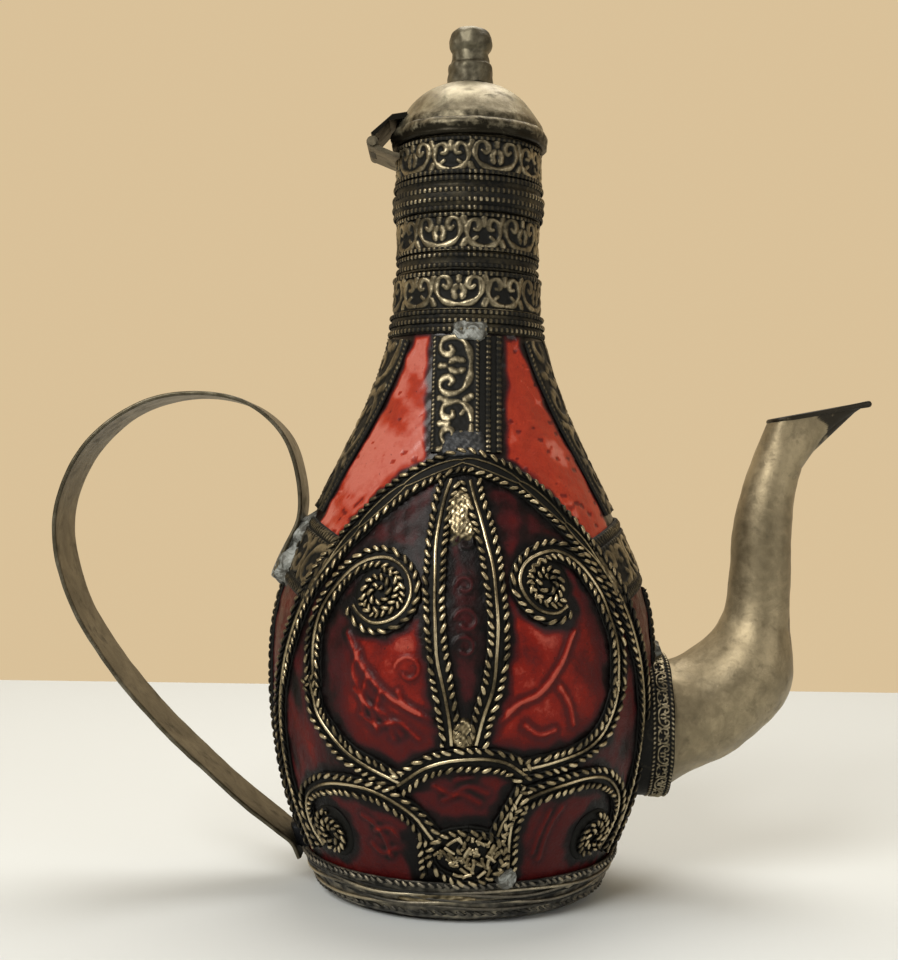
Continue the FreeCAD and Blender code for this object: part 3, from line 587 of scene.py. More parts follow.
def solder():
    """Grey solder, lumpy and partly blackened."""
    m = Material("solder")
    small, fine = m.noise(1.5, 4, 0.7), m.noise(0.4, 3)
    m.feed(m.shader.inputs["Base Color"], m.ramp(m.noise(2.4, 6, 0.9), (0.34, (0.035, 0.032, 0.026)),
                                                 (0.47, (0.12, 0.12, 0.105)), (0.60, (0.33, 0.345, 0.325))))
    m.shader.inputs["Metallic"].default_value = 0.35
    m.shader.inputs["Specular IOR Level"].default_value = 0.3
    m.feed(m.shader.inputs["Roughness"], m.ramp(fine, (0.3, 0.5), (0.7, 0.75)))
    m.feed(m.shader.inputs["Normal"], m.bump(m.maths("ADD", small, fine), 0.12, 0.7))
    return m.material


FILIGREE = worked_brass("filigree_brass", (0.004, 0.004, 0.003), (0.055, 0.044, 0.025), (0.25, 0.20, 0.115),
                        (0.56, 0.47, 0.30), 0.32)
EMBOSSED = worked_brass("embossed_brass", (0.006, 0.006, 0.005), (0.042, 0.036, 0.023), (0.155, 0.13, 0.083),
                        (0.40, 0.345, 0.23), 0.38, 1.1)
SPOUT = plain_brass("spout_brass", (0.12, 0.096, 0.055), (0.22, 0.178, 0.106), (0.33, 0.27, 0.165), 0.46,
                    15.0, 0.4, metal=0.62)
HANDLE = plain_brass("handle_brass", (0.050, 0.043, 0.028), (0.090, 0.078, 0.051), (0.155, 0.138, 0.098),
                     0.42, 7.0, 0.4)
LID = plain_brass("lid_brass", (0.11, 0.095, 0.062), (0.23, 0.20, 0.135), (0.36, 0.325, 0.225),
                  0.42, 9.0, 0.5)
FINIAL = plain_brass("finial_brass", (0.045, 0.040, 0.028), (0.11, 0.098, 0.068), (0.20, 0.18, 0.125),
                     0.48, 6.0, 0.5)
DULL = plain_brass("dull_brass", (0.04, 0.035, 0.024), (0.11, 0.093, 0.062), (0.20, 0.17, 0.115),
                   0.5, 8.0, 0.6, False)
FOOT = worked_brass("weathered_brass", (0.014, 0.014, 0.012), (0.075, 0.071, 0.06), (0.20, 0.18, 0.14),
                    (0.44, 0.385, 0.27), 0.46)
SOLDER = solder()
# The last colour of each leather is its painted pink sheen.
LEATHER = red_leather("red_leather", 0.05, 0.34, (0.075, 0.004, 0.003), (0.185, 0.008, 0.003),
                      (0.34, 0.055, 0.035))
BRIGHT_LEATHER = red_leather("bright_red_leather", 0.3, 0.18, (0.15, 0.009, 0.006), (0.34, 0.030, 0.011),
                             (0.46, 0.12, 0.088))
PITCH = worked_brass("black_pitch", (0.004, 0.004, 0.005), (0.012, 0.013, 0.015), (0.05, 0.052, 0.054),
                     (0.16, 0.16, 0.155), 0.4)

for node, material in (("vessel", DULL), ("base_plate", DULL), ("lid_hinge_leaf", FINIAL),
                       ("neck_hinge_leaf", DULL), ("hinge_pin", DULL)):
    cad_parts[node].data.materials.clear()
    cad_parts[node].data.materials.append(material)


# ---------------------------------------------------------------- medallions
def medallion(side, seed):
    """The filigree of one side. side is front or back, and the back is the front turned round."""
    turn = side == "back"
    laid = []

    def make(node, build):
        mesh = Mesh()
        laid.extend(track for track in build(mesh) if track)
        if turn:
            mesh.points = [p * np.array([-1, -1, 1]) for p in mesh.points]
        mesh.finish(f"{side}_{node}_wires", FILIGREE, "pot", "filigree_brass", f"{side}_{node}")

    def rosette(mesh):
        angle, z, wide, tall = ROSETTE
        girth = float(skin(z))
        t = np.linspace(0, 2 * math.pi, 30)
        ring = Body(np.stack([angle + np.degrees(wide * np.sin(t) / girth), z + tall * np.cos(t)], 1), 0.2)
        bed(mesh, ring, 2.4, -0.1, 0.3, seed)
        rope(mesh, ring, 0.1, 0.6, 1.15, seed)
        disc = coil(mesh, (angle, z, 4.0, 0.3, 1), seed + 4)
        rng = np.random.default_rng(seed + 9)
        for _ in range(58):
            a, r = rng.uniform(0, 6.28), rng.uniform(0.1, 0.82)
            b = rng.uniform(0, 6.28)
            middle = np.array([r * wide * math.cos(a), r * tall * math.sin(a)])
            grain = np.array([math.cos(b), math.sin(b)]) * rng.uniform(0.4, 1.1)
            ends = [middle - grain, middle + 0.2 * grain[::-1], middle + grain]
            path = [(angle + math.degrees(u / girth), z + w) for u, w in ends]
            mesh.tube(Body(path, 0.15), 0.0, 0.4 + 0.25 * rng.random(), 0.36, 0.3, 6,
                      wear=np.array([[0.55 + 0.45 * rng.random()]]))
        return [ring, disc]

    make("arch", lambda m: [arch(m, seed)])
    make("lens_arch", lambda m: [ribbon(m, LENS, seed + 1, 4.7)])
    make("scroll_left", lambda m: [ribbon(m, SCROLL_LEFT, seed + 2), coil(m, EYE_LEFT, seed + 3)])
    make("scroll_right", lambda m: [ribbon(m, SCROLL_RIGHT, seed + 4), coil(m, EYE_RIGHT, seed + 5)])
    make("leaf_left", lambda m: [ribbon(m, LEAF_LEFT, seed + 6)])
    make("leaf_right", lambda m: [ribbon(m, LEAF_RIGHT, seed + 7)])
    make("bow_left", lambda m: [ribbon(m, BOW_LEFT, seed + 8)])
    make("bow_right", lambda m: [ribbon(m, BOW_RIGHT, seed + 9)])
    make("rosette", rosette)
    make("base_scroll_left", lambda m: [ribbon(m, BASE_LEFT, seed + 10), coil(m, BASE_EYE_LEFT, seed + 11),
                                        stem(m, STEM_LEFT, 1, seed + 12)])
    make("base_scroll_right", lambda m: [ribbon(m, BASE_RIGHT, seed + 13), coil(m, BASE_EYE_RIGHT, seed + 14),
                                         stem(m, STEM_RIGHT, 3, seed + 15),
                                         stem(m, SPRIG_RIGHT, 3, seed + 16)])
    return laid


def arch(mesh, seed):
    """The wide ribbon round the field: a wire down its middle, opening into long frames over the crown."""
    track = Body(ARCH)
    bed(mesh, track, ARCH_WIDTH - 0.2, -0.1, 0.3, seed)
    rope(mesh, track, ARCH_WIDTH / 2 - 0.75, 0.55, 1.0, seed, hand=1, fade=0.2)
    rope(mesh, track, 0.75 - ARCH_WIDTH / 2, 0.55, 1.0, seed + 1, hand=-1)
    crown = step(66, 72, track.centre[:, 2])
    open_by = 0.72 * crown * np.abs(np.sin(math.pi * track.reach / 11.5)) ** 0.4
    for side in (-1, 1):
        mesh.tube(track, side * (open_by + 0.13), 0.42, 0.2 - 0.04 * crown,
                  wear=(0.75 - 0.2 * crown)[:, None])
    return track


def stem(mesh, path, strands, seed):
    """A short upright beside the rosette: one rope, or a narrow ribbon."""
    track = Body(path)
    bed(mesh, track, 1.2 * strands ** 0.9, -0.1, 0.25, seed)
    if strands == 1:
        rope(mesh, track, 0.0, 0.5, 1.0, seed)
        return track
    rope(mesh, track, 1.15, 0.5, 0.95, seed)
    rope(mesh, track, -1.15, 0.5, 0.95, seed + 1, hand=-1)
    wire(mesh, track, 0.0, 0.45, seed=seed)
    return track


laid = medallion("front", 3)
medallion("back", 31)


# ---------------------------------------------------------------- leather
near = kdtree.KDTree(sum(len(track.centre) for track in laid))
count = 0
for track in laid:
    for spot in track.centre:
        near.insert(spot, count)
        count += 1
near.balance()

ARCH_AT = sorted((z, a) for a, z in ARCH_HALF)


def arch_reach(z):
    """Half the arch's width, as an angle, at height z. Negative above its crown."""
    half = np.interp(z, [p[0] for p in ARCH_AT], [p[1] for p in ARCH_AT])
    return np.where(z > ARCH_HALF[0][1], -1.0, half)


def off_path(points, angle, z):
    """Distance on the body from each (angle, z) to a polyline of (angle, height)."""
    line = along_curve([(a, h) for a, h in points], 0.35)
    best = np.full(angle.shape, 99.0)
    for a, h in line:
        near_by = np.hypot(np.radians(angle - a) * skin(z), z - h)
        np.minimum(best, near_by, out=best)
    return best


def leather(name, node, angles, heights, keep_where, tone, extra=None, turn=False, seed=0, fine=0.4,
            material=LEATHER):
    """A leather panel with soft wrinkles, stained dark beside the wires and straps."""
    wide = math.radians(angles[1] - angles[0]) * 36
    tall = heights[1] - heights[0]
    a, z = np.meshgrid(np.linspace(*angles, int(wide / fine)), np.linspace(*heights, int(tall / fine)),
                       indexing="ij")
    flat = polar(a, z, 0)
    relief = 0.10 * ripple(flat, 9.0, seed) + 0.05 * ripple(flat, 3.0, seed + 1)
    clean = np.ones(a.shape)
    keep = keep_where(a, z)
    folded = np.stack([flat[..., 0], -np.abs(flat[..., 1]), flat[..., 2]], -1)
    for i, j in zip(*np.nonzero(keep)):
        clean[i, j] = near.find(folded[i, j])[2]
    stain = step(1.9, 4.3, clean + 0.55 * ripple(flat, 4.0, seed + 2))
    level = tone(a, z, flat)
    if extra:
        # extra also gives painted light: painted highlights on raised crests and painted shade beside them,
        # added to the colour level.
        more, light = extra(a, z, flat)
        relief, level = relief + more, level + light
    mesh = Mesh()
    points = polar(a, z, np.minimum(relief - 0.12, 0.34))
    if turn:
        points = points * np.array([-1, -1, 1])
    mesh.grid(points, np.clip(level, 0, 1.05) * (0.08 + 0.92 * stain), keep=keep)
    mesh.finish(name, material, "pot", "red_leather", node)


def field_tone(a, z, flat):
    """Deep red in the big panels, maroon above the scrolls and in the slit, dull red below."""
    slit = step(6.5, 4.5, np.abs(a + 0.5)) * step(36, 40, z)
    crown = step(64, 68, z)
    low = step(28, 24, z)
    outer = step(43, 48, np.abs(a) + 0.35 * z - 12)
    shade = 1.9 * step(-27, -38, a) + 0.7 * step(30, 42, a) + step(45, 36, z + 0.1 * np.abs(a))
    base = 0.88 + 0.09 * ripple(flat, 9.0, 5) - 0.24 * np.clip(shade, 0, 2.2)
    base = base * (1 - outer) + (0.48 + 0.22 * ripple(flat, 7.0, 15)) * outer
    base = base * (1 - slit) + 0.42 * slit
    base = base * (1 - crown) + (0.38 + 0.14 * ripple(flat, 5.0, 16)) * crown
    return base * (1 - low) + 0.60 * low


def field_relief(a, z, flat):
    """The raised vein across each big panel, a curl beside it, small curls in the slit, and wrinkles, each
    with a painted highlight on its crest and painted shade beside it.
    """
    veins = [[(-34, 54), (-29, 48.7), (-23, 44.5), (-17, 41.9), (-8, 39.3)],
             [(32, 55), (27, 48.9), (21, 44.1), (15, 42.3), (10, 39.5)]]
    curls = [(-15, 48.1, 1.9), (0, 63.2, 1.2), (0.6, 57, 1.7), (0.2, 52.4, 1.5), (0.2, 71, 1.3)]
    strokes = [[(-30, 51), (-31.5, 47), (-29, 43.5), (-28, 40)],
               [(-27, 46.5), (-28, 43), (-25, 39.5), (-24, 37)],
               [(-23, 43.8), (-24, 41), (-20, 37.5), (-19, 35.6)],
               [(-31, 44), (-27, 41.5), (-22, 40.2), (-17, 36.4)],
               [(-29, 39.5), (-24, 37.8), (-18, 38.6), (-12, 35.8)], [(-18, 44), (-16, 42), (-12, 40.4)],
               [(17, 38.4), (21, 36.6), (26, 37.2)], [(27, 45), (30, 42), (32, 38)],
               [(-8, 27.4), (-3, 26), (2, 27.3), (7, 26)], [(-5, 24.7), (0, 25.8), (5, 24.2)],
               [(-2, 28.6), (3, 29.2)],
               [(-31, 20.5), (-27, 19), (-24, 16.5), (-23, 13)], [(-27, 17.8), (-22, 18.6), (-19, 17)],
               [(-29, 15), (-26, 13.4), (-21, 14.6)], [(31, 22.5), (28, 19.5), (26.5, 16), (26, 12.6)],
               [(27, 22), (24.6, 18), (23.4, 14)]]
    # light is painted light: a painted highlight along each raised crest and a band of painted shade just
    # beside it.
    relief, light = 0 * z, 0 * z
    for path in veins:
        d = off_path(path, a, z)
        relief += 0.5 * np.exp(-(d / 0.42) ** 2)
        light += 0.30 * np.exp(-(d / 0.42) ** 2) - 0.22 * np.exp(-((d - 1.0) / 0.6) ** 2)
    for ca, cz, r in curls:
        u, w = np.radians(a - ca) * skin(z), z - cz
        d = np.abs(np.hypot(u, w) - r * (1 + 0.12 * np.arctan2(w, u)))
        ring = np.exp(-(d / 0.3) ** 2) * step(-3.0, -2.2, np.arctan2(w, u))
        relief += 0.45 * ring
        light += 0.24 * ring - 0.16 * np.exp(-(d / 1.0) ** 2)
    for path in strokes:
        d = off_path(path, a, z)
        relief += 0.34 * np.exp(-(d / 0.42) ** 2)
        light += 0.2 * np.exp(-(d / 0.4) ** 2) - 0.16 * np.exp(-((d - 0.95) / 0.6) ** 2)
    return relief, light


def upper_tone(a, z, flat):
    """Bright red, darker beside the straps and round the neck, with soft pools of painted pink sheen, more of
    them at negative angles.
    """
    side = np.abs(a)
    girth = skin(z)
    from_front = np.radians(side) * girth - STRAP_WIDTH / 2
    from_side = np.radians(90 - side) * girth - SIDE_STRAP_WIDTH
    from_neck = 111 - z
    rim = np.minimum(np.minimum(from_front, from_side), from_neck) + 0.3 * ripple(flat, 5.0, 8)
    # Painted highlight: soft pools lifted towards the pale top colour as a painted pink sheen, more at
    # negative angles (the left panel in front).
    painted_sheen_pools = step(-0.5, 0.6, ripple(flat, 12.0, 6) + 0.25 * ripple(flat, 3.2, 7) - 0.65 * np.sign(a) - 0.2)
    return (0.85 + 0.15 * painted_sheen_pools) * (0.15 + 0.85 * step(-0.1, 1.7, rim))


def upper_relief(a, z, flat):
    """A few pits and creases; the creases carry a painted highlight, the pits are darker."""
    pits = step(0.95, 1.2, ripple(flat, 2.6, 24) + 0.5 * ripple(flat, 11.0, 25))
    crease = np.exp(-(ripple(flat, 9.0, 26) / 0.06) ** 2) * step(0.1, 0.5, ripple(flat, 13.0, 27))
    # The second value is colour: a painted highlight on the creases, darker in the pits.
    return 0.12 * crease - 0.12 * pits, 0.10 * crease - 0.2 * pits


def side_tone(a, z, flat):
    return 0.56 + 0.09 * ripple(flat, 8.0, 9)


def in_field(a, z):
    return np.abs(a) < arch_reach(z)


def beside(a, z):
    return (np.abs(a) > arch_reach(z)) & (180 - np.abs(a) > arch_reach(z))


def beside_spout(a, z):
    y, x = skin(z) * np.cos(np.radians(a)), z - SPOUT_HEIGHT
    return beside(a, z) & (np.hypot(x, y) > 8.2)


for side, turn in (("front", False), ("back", True)):
    leather(f"{side}_field_leather", f"leather_field_{side}", (-70, 70), (7.5, 88), in_field, field_tone,
            field_relief, turn, 2 + turn, 0.3)
    for hand, other, low, high in (("spout", "handle", 0, 92), ("handle", "spout", -92, 0)):
        node = f"leather_upper_{side}_{other if turn else hand}"
        leather(f"{side}_{hand}_upper_leather", node, (low, high), (69, 110.9),
                lambda a, z: np.abs(a) > arch_reach(z), upper_tone, upper_relief, turn,
                11 + 3 * turn + high, 0.35, BRIGHT_LEATHER)
leather("side_leather_spout", "leather_side_spout", (50, 130), (7.5, 71), beside_spout, side_tone, seed=21)
leather("side_leather_handle", "leather_side_handle", (-130, -50), (7.5, 71), beside, side_tone, seed=23)


# ---------------------------------------------------------------- straps and bands
def strap_path(low, high, offset=0.0, middle=0.0):
    """A path up the body, offset in millimetres from the line at angle middle."""
    heights = np.linspace(low, high, 8)
    return [(middle + math.degrees(offset / float(skin(z))), z) for z in heights]


def front_strap(side, turn, seed):
    mesh = Mesh()
    bed(mesh, Body(strap_path(87.4, 110.3)), STRAP_WIDTH, -0.1, 0.22, seed)
    embossed(mesh, Body(strap_path(87.4, 110.2, -2.2), 0.2), 9.4, 0.28, 0.42, seed, 1.0, thick=0.3, worn=0.85)
    edge = Body(strap_path(87.4, 110.2, 4.1), 0.15)
    beads(mesh, edge, 0.0, 0.32, 0.55, 0.4, 1.1, 0.9, seed)
    edge = Body(strap_path(87.4, 110.2, 6.2), 0.15)
    beads(mesh, edge, 0.0, 0.30, 0.6, 0.42, 1.3, 0.8, seed + 1)
    if turn:
        mesh.points = [p * np.array([-1, -1, 1]) for p in mesh.points]
    mesh.finish(f"strap_{side}_embossed", EMBOSSED, "pot", "embossed_brass", f"strap_{side}")


front_strap("front", False, 5)
front_strap("back", True, 6)

for side, sign in (("handle", -1), ("spout", 1)):
    for face, lean in (("front", -1), ("back", 1)):
        mesh = Mesh()
        path = strap_path(SHOULDER_HIGH + 0.6, 110.2, sign * lean * (SIDE_STRAP_WIDTH / 2 + 0.1), sign * 90)
        embossed(mesh, Body(path), SIDE_STRAP_WIDTH, 0.34, 0.42, 7 + sign + lean, 1.3, worn=0.75, thick=0.3)
        node = f"strap_{side}_{face}"
        mesh.finish(f"{node}_embossed", EMBOSSED, "pot", "embossed_brass", node)
    middle = (SHOULDER_LOW + SHOULDER_HIGH) / 2
    path = [(sign * (90 + turn), middle - 3.4 * (turn / 38) ** 2) for turn in range(-41, 42, 2)]
    mesh = Mesh()
    track = Body(path)
    embossed(mesh, track, SHOULDER_HIGH - SHOULDER_LOW, 0.32, 0.44, 31 + sign, 2.3, worn=0.8, thick=0.3)
    for across in (-4.3, 4.3, -6.3, 6.3):
        beads(mesh, track, across, 0.42, 0.5, 0.34, 1.2, 0.7, across)
    mesh.finish(f"shoulder_band_{side}_embossed", EMBOSSED, "pot", "embossed_brass", f"shoulder_band_{side}")

for name, middle, low, high in (("side_rib_handle", -90, 9.2, SHOULDER_LOW - 0.9),
                                ("side_rib_below_spout", 90, 9.2, SPOUT_HEIGHT - COLLAR_RADIUS + 2.2),
                                ("side_rib_above_spout", 90, SPOUT_HEIGHT + COLLAR_RADIUS - 2.4,
                                 SHOULDER_LOW - 0.9)):
    mesh = Mesh()
    track = Body(strap_path(low, high, 0.0, middle))
    embossed(mesh, track, SIDE_RIB_WIDTH, 0.30, 0.42, 3, 1.5, worn=0.8, thick=0.3)
    for across in (-5.2, 5.2):
        rope(mesh, track, across, 0.42, 0.9, middle + across, fade=0.15)
    mesh.finish(f"{name}_embossed", EMBOSSED, "pot", "embossed_brass", name)

# The conical band round the foot: rough and black, with ropes at its edges and loose wires between them.
mesh = Mesh()
heights = np.concatenate([np.linspace(0.15, 2.0, 24), np.linspace(2.1, 8.4, 56)])
swell = np.interp(heights, [0.15, 0.4, 0.9, 1.6, 5.5, 8.4], [-2.1, -0.8, 0.35, 0.95, 0.95, 0.8])
profile = np.stack([skin(heights) + swell, heights], 1)
inner = np.stack([skin(heights[::-1]) + np.minimum(swell[::-1] - 0.3, 0.1), heights[::-1]], 1)
skirt = np.concatenate([profile, inner])
turns = np.linspace(0, 2 * math.pi, 420, endpoint=False)[:, None]
spots = np.stack([skirt[:, 0] * np.sin(turns), -skirt[:, 0] * np.cos(turns), skirt[:, 1] + 0 * turns], -1)
rubbed = np.clip(0.50 + 0.26 * ripple(spots, 2.6, 6) + 0.14 * ripple(spots, 9, 7), 0, 0.8)
turned(mesh, skirt, 420, 0.18, 3.2, 4, rubbed)
rope(mesh, Ring(float(skin(7.9)) + 0.95, 7.9, 0.2), 0.0, 0.0, 0.85, 3, 3.2, fade=0.1)
rope(mesh, Ring(float(skin(2.2)) + 0.8, 2.2, 0.2), 0.0, 0.0, 0.8, 5, 3.6, fade=0.45)
for z, sway, turns, start in ((6.5, 0.35, 5, 0), (5.9, 0.4, 7, 2), (5.2, 0.45, 4, 4), (4.4, 0.5, 6, 1),
                              (3.3, 0.3, 5, 3)):
    track = Ring(float(skin(z)) + 0.95, z, 0.3)
    show = np.sin(2 * track.angle + start) + 0.5 * np.sin(5 * track.angle + 2 * start)
    mesh.tube(track, sway * np.sin(turns * track.angle + start), 0.12 + 0.16 * np.minimum(show, 0.6),
              0.3, 0.27, 8, wear=np.clip(0.5 + 0.35 * show, 0.1, 0.95)[:, None])
mesh.finish("foot_band_wired", FOOT, "pot", "embossed_brass", "foot_band")


# ---------------------------------------------------------------- neck
def neck_piece(node, radius, low, high, seed, bead_rows, scroll=True, rise=0.6, profile=None):
    """A band or ring round the neck: scrollwork between beaded edges, or a plain ring with beaded rows."""
    mesh = Mesh()
    middle = (low + high) / 2
    if scroll:
        track = Ring(radius, middle, 0.16)
        embossed(mesh, track, high - low, 0.0, rise, seed, 0.35, rim="line", fine=0.16, thick=0.5, worn=0.85)
    else:
        turned(mesh, profile, 300, 0.06, 3.0, seed, 0.36, closed=False, fine=0.2)
    for z, r, wide in bead_rows:
        beads(mesh, Ring(r, z, 0.14), 0.0, 0.0, 1.15 * wide, 0.38, 1.15, 1.0, seed + z)
    mesh.finish(f"{node}_worked", EMBOSSED, "pot", "embossed_brass", node)


neck_piece("neck_band_top", 14.45, 142.1, 149.4, 1, [(149.0, 14.8, 0.4), (142.5, 14.85, 0.45)])
neck_piece("neck_ring_upper", 0, 134.9, 141.9, 2,
           [(141.2, 15.1, 0.5), (138.9, 15.35, 0.5), (137.0, 15.35, 0.45), (135.4, 15.1, 0.45)], scroll=False,
           profile=[(13.7, 134.9), (14.7, 135.0), (14.9, 136.0), (15.3, 136.8), (15.4, 138.3), (15.0, 139.4),
                    (14.6, 140.2), (14.9, 141.0), (14.6, 141.8), (13.7, 141.9)])
neck_piece("neck_band_middle", 14.15, 127.1, 134.6, 4, [(134.2, 14.5, 0.4), (127.5, 14.5, 0.4)])
neck_piece("neck_ring_middle", 0, 123.3, 126.9, 5, [(126.3, 14.4, 0.4), (124.3, 14.4, 0.45)], scroll=False,
           profile=[(13.7, 123.3), (14.2, 123.4), (14.0, 125.2), (14.2, 126.8), (13.7, 126.9)])
neck_piece("neck_band_lower", 14.75, 115.5, 123.0, 8, [(122.6, 15.0, 0.45)], rise=0.5)
neck_piece("neck_ring_lower", 0, 110.7, 115.4, 9,
           [(115.0, 15.55, 0.4), (113.3, 15.75, 0.45), (111.6, 15.9, 0.45)], scroll=False,
           profile=[(14.0, 110.8), (15.6, 110.9), (15.7, 112.4), (15.3, 113.2), (15.4, 114.3), (15.0, 115.3),
                    (13.7, 115.4)])

# ---------------------------------------------------------------- lid
mesh = Mesh()
dome = [(15.25, 153.0), (15.0, 154.2), (14.2, 155.5), (13.2, 157.0), (11.8, 158.75), (9.9, 160.5),
        (7.4, 162.0), (4.6, 163.0), (2.0, 163.3)]
under = [(2.0, 162.6), (4.4, 162.2), (7.4, 161.0), (11.2, 158.0), (13.4, 155.1), (14.3, 153.0)]
fine_dome = along_curve(dome, 0.3)
worn = 0.42 + 0.58 * step(153.5, 156.5, fine_dome[:, 1]) - 0.25 * step(162.2, 163.2, fine_dome[:, 1])
turned(mesh, fine_dome, 240, 0.07, 7.0, 12, worn[None], closed=False)
turned(mesh, under, 160, 0.0, closed=False, fine=0.6)
mesh.finish("lid_dome_beaten", LID, "lid", "lid_brass", "lid_dome")

mesh = Mesh()
rim = [(14.3, 149.85), (15.5, 149.8), (15.85, 150.0), (15.9, 150.5), (15.75, 150.9), (16.1, 151.4),
       (16.15, 151.9), (15.95, 152.5), (15.6, 152.95), (15.25, 153.2), (14.3, 152.6)]
turned(mesh, rim, 300, 0.12, 4.5, 13, np.array([[0, 0.1, 0.1, 0.1, 0.15, 0.3, 0.38, 0.5, 0.5, 0.45, 0.1]]))
mesh.finish("lid_rim_rolled", LID, "lid", "lid_brass", "lid_rim")

mesh = Mesh()
spool = [(4.7, 163.1), (4.6, 164.0), (4.5, 165.5), (4.5, 166.6), (4.3, 167.2), (3.95, 167.6), (3.85, 168.4),
         (3.8, 169.2), (3.75, 169.8), (4.05, 170.3), (4.3, 170.8), (4.35, 171.8), (4.25, 172.8), (3.8, 173.8),
         (2.8, 174.6), (1.4, 174.95), (0.05, 175.05)]
turned(mesh, spool, 160, 0.10, 3.0, 14, closed=False, fine=0.18)
mesh.finish("finial_turned", FINIAL, "lid", "lid_brass", "finial")

# ---------------------------------------------------------------- spout
stations = np.array(SPOUT_SECTIONS, float)
spout_at = smooth(np.linspace(0, 1, len(stations)), stations)


def round_section(t, wall, count=96):
    """A ring of points round the spout at t, from 0 at its root to 1 at its mouth."""
    x, z, d, r = spout_at(t)
    d = math.radians(d)
    a = np.linspace(0, 2 * math.pi, count, endpoint=False)
    up = np.cos(a) * (r - wall)
    return np.stack([x - math.sin(d) * up, np.sin(a) * (r - wall), z + math.cos(d) * up], 1)


def mouth_section(inset, count=96, lower=0.0):
    """The mouth's edge: a teardrop in its own sloping plane, round behind and pointed at the beak."""
    back, tip = np.array([LIP_BACK[0], 0, LIP_BACK[1]]), np.array([LIP_TIP[0], 0, LIP_TIP[1]])
    along = (tip - back) / np.linalg.norm(tip - back)
    length = np.linalg.norm(tip - back) - 0.6
    a = np.linspace(0, 2 * math.pi, count, endpoint=False)
    front = (1 - np.cos(a)) / 2
    half = (LIP_HALF_WIDTH - inset) * np.sin(a) * (1 - 0.72 * front ** 1.3)
    reach = inset + (length - 2 * inset) * (0.36 * front + 0.64 * front ** 2.4)
    off = np.cross(along, [0, 1, 0])
    return back + reach[:, None] * along + half[:, None] * np.array([0, 1, 0]) + lower * off


def outside_body(points, lift):
    """The points, with those nearer the middle than the body's wall moved out to it along +X."""
    x, y, z = np.moveaxis(points, -1, 0)
    wall = np.sqrt(np.maximum((skin(np.clip(z, 0, 111)) + lift) ** 2 - y ** 2, 0))
    return np.stack([np.maximum(x, wall), y, z], -1)


mesh = Mesh()
outer = np.array([round_section(t, 0.0) for t in np.linspace(0, 1, 160)])
dents = 0.13 * ripple(outer, 14.0, 3) + 0.05 * ripple(outer, 4.0, 4)
outward = outer - outer.mean(axis=1)[:, None]
calm = step(1.0, 0.94, np.linspace(0, 1, 160))[:, None, None]
outer = outer + outward / np.linalg.norm(outward, axis=-1)[..., None] * (dents[..., None] - 0.08) * calm
inner = np.array([round_section(t, SPOUT_WALL) for t in np.linspace(1, 0, 80)])
for skin_rows in (outer, inner):
    mesh.grid(outside_body(skin_rows, 0.1)[:, ::-1], 1.0, False, True)
mesh.finish("spout_beaten", SPOUT, "pot", "spout_brass", "spout")

# Every ring of the lip starts behind and runs the same way round.
mesh = Mesh()
t = np.linspace(0, 1, 26)[:, None, None]
skin_out = round_section(1.0, 0.0)[None] * (1 - t) + mouth_section(0.0)[None] * t
front = (1 - np.cos(np.linspace(0, 2 * math.pi, 96, endpoint=False)))[None, :, None] / 2
skin_out = skin_out + np.sin(math.pi * t) * front ** 3 * np.array([-0.95, 0, 0.85])
skin_in = mouth_section(0.75, lower=0.3)[None] * (1 - t) + round_section(1.0, SPOUT_WALL)[None] * t
for rows, dark in ((skin_out, 1.0), (skin_in, 0.4)):
    corner = (rows[..., 0] - 70.2) * 0.74 + (rows[..., 2] - 96.9) * 0.67 + 0.25 * ripple(rows, 5.0, 7)
    mesh.grid(rows[:, ::-1], dark * (1 - 0.85 * step(-0.4, 0.5, corner)), False, True)
edge = mouth_section(0.25)
radial = edge - edge.mean(axis=0)
radial /= np.linalg.norm(radial, axis=1)[:, None]
square = np.cross([LIP_TIP[0] - LIP_BACK[0], 0, LIP_TIP[1] - LIP_BACK[1]], [0, 1, 0])
square = square / np.linalg.norm(square)
turn = np.linspace(0, 2 * math.pi, 12, endpoint=False)[None, :, None]
thick = (0.56 + 0.12 * step(79, 83, edge[:, 0]))[:, None, None]
rolled = edge[:, None] + thick * (np.cos(turn) * radial[:, None] + np.sin(turn) * square - 0.3 * square)
mesh.grid(rolled, 0.14, True, True)
mesh.finish("spout_lip_cut", SPOUT, "pot", "spout_brass", "spout_lip")

mesh = Mesh()
ring = Ring(COLLAR_RADIUS - 0.6, SPOUT_HEIGHT, 0.18, about_x=39.5)
embossed(mesh, ring, 4.4, 0.0, 0.5, 2, 0.9, fine=0.16, thick=0.6)
face = np.linspace(12.6, COLLAR_RADIUS - 0.5, 10)[None]
a = ring.angle[:, None]
front_face = np.stack([41.72 + 0.05 * np.sin(a * 9) + 0 * face, face * np.sin(a),
                       SPOUT_HEIGHT + face * np.cos(a)], -1)
mesh.grid(front_face[:, ::-1], 0.35, True, False)
back_reach = np.linspace(0, 1, 14)[None]
y, z = (COLLAR_RADIUS - 0.45) * np.sin(a), SPOUT_HEIGHT + (COLLAR_RADIUS - 0.45) * np.cos(a)
foot_x = np.sqrt(np.maximum((skin(z) + 0.3) ** 2 - y ** 2, 0))
wall = np.stack([foot_x + (37.8 - foot_x) * back_reach, y + 0 * back_reach, z + 0 * back_reach], -1)
mesh.grid(wall, 0.2, True, False)
mesh.finish("spout_collar_embossed", EMBOSSED, "pot", "embossed_brass", "spout_collar")

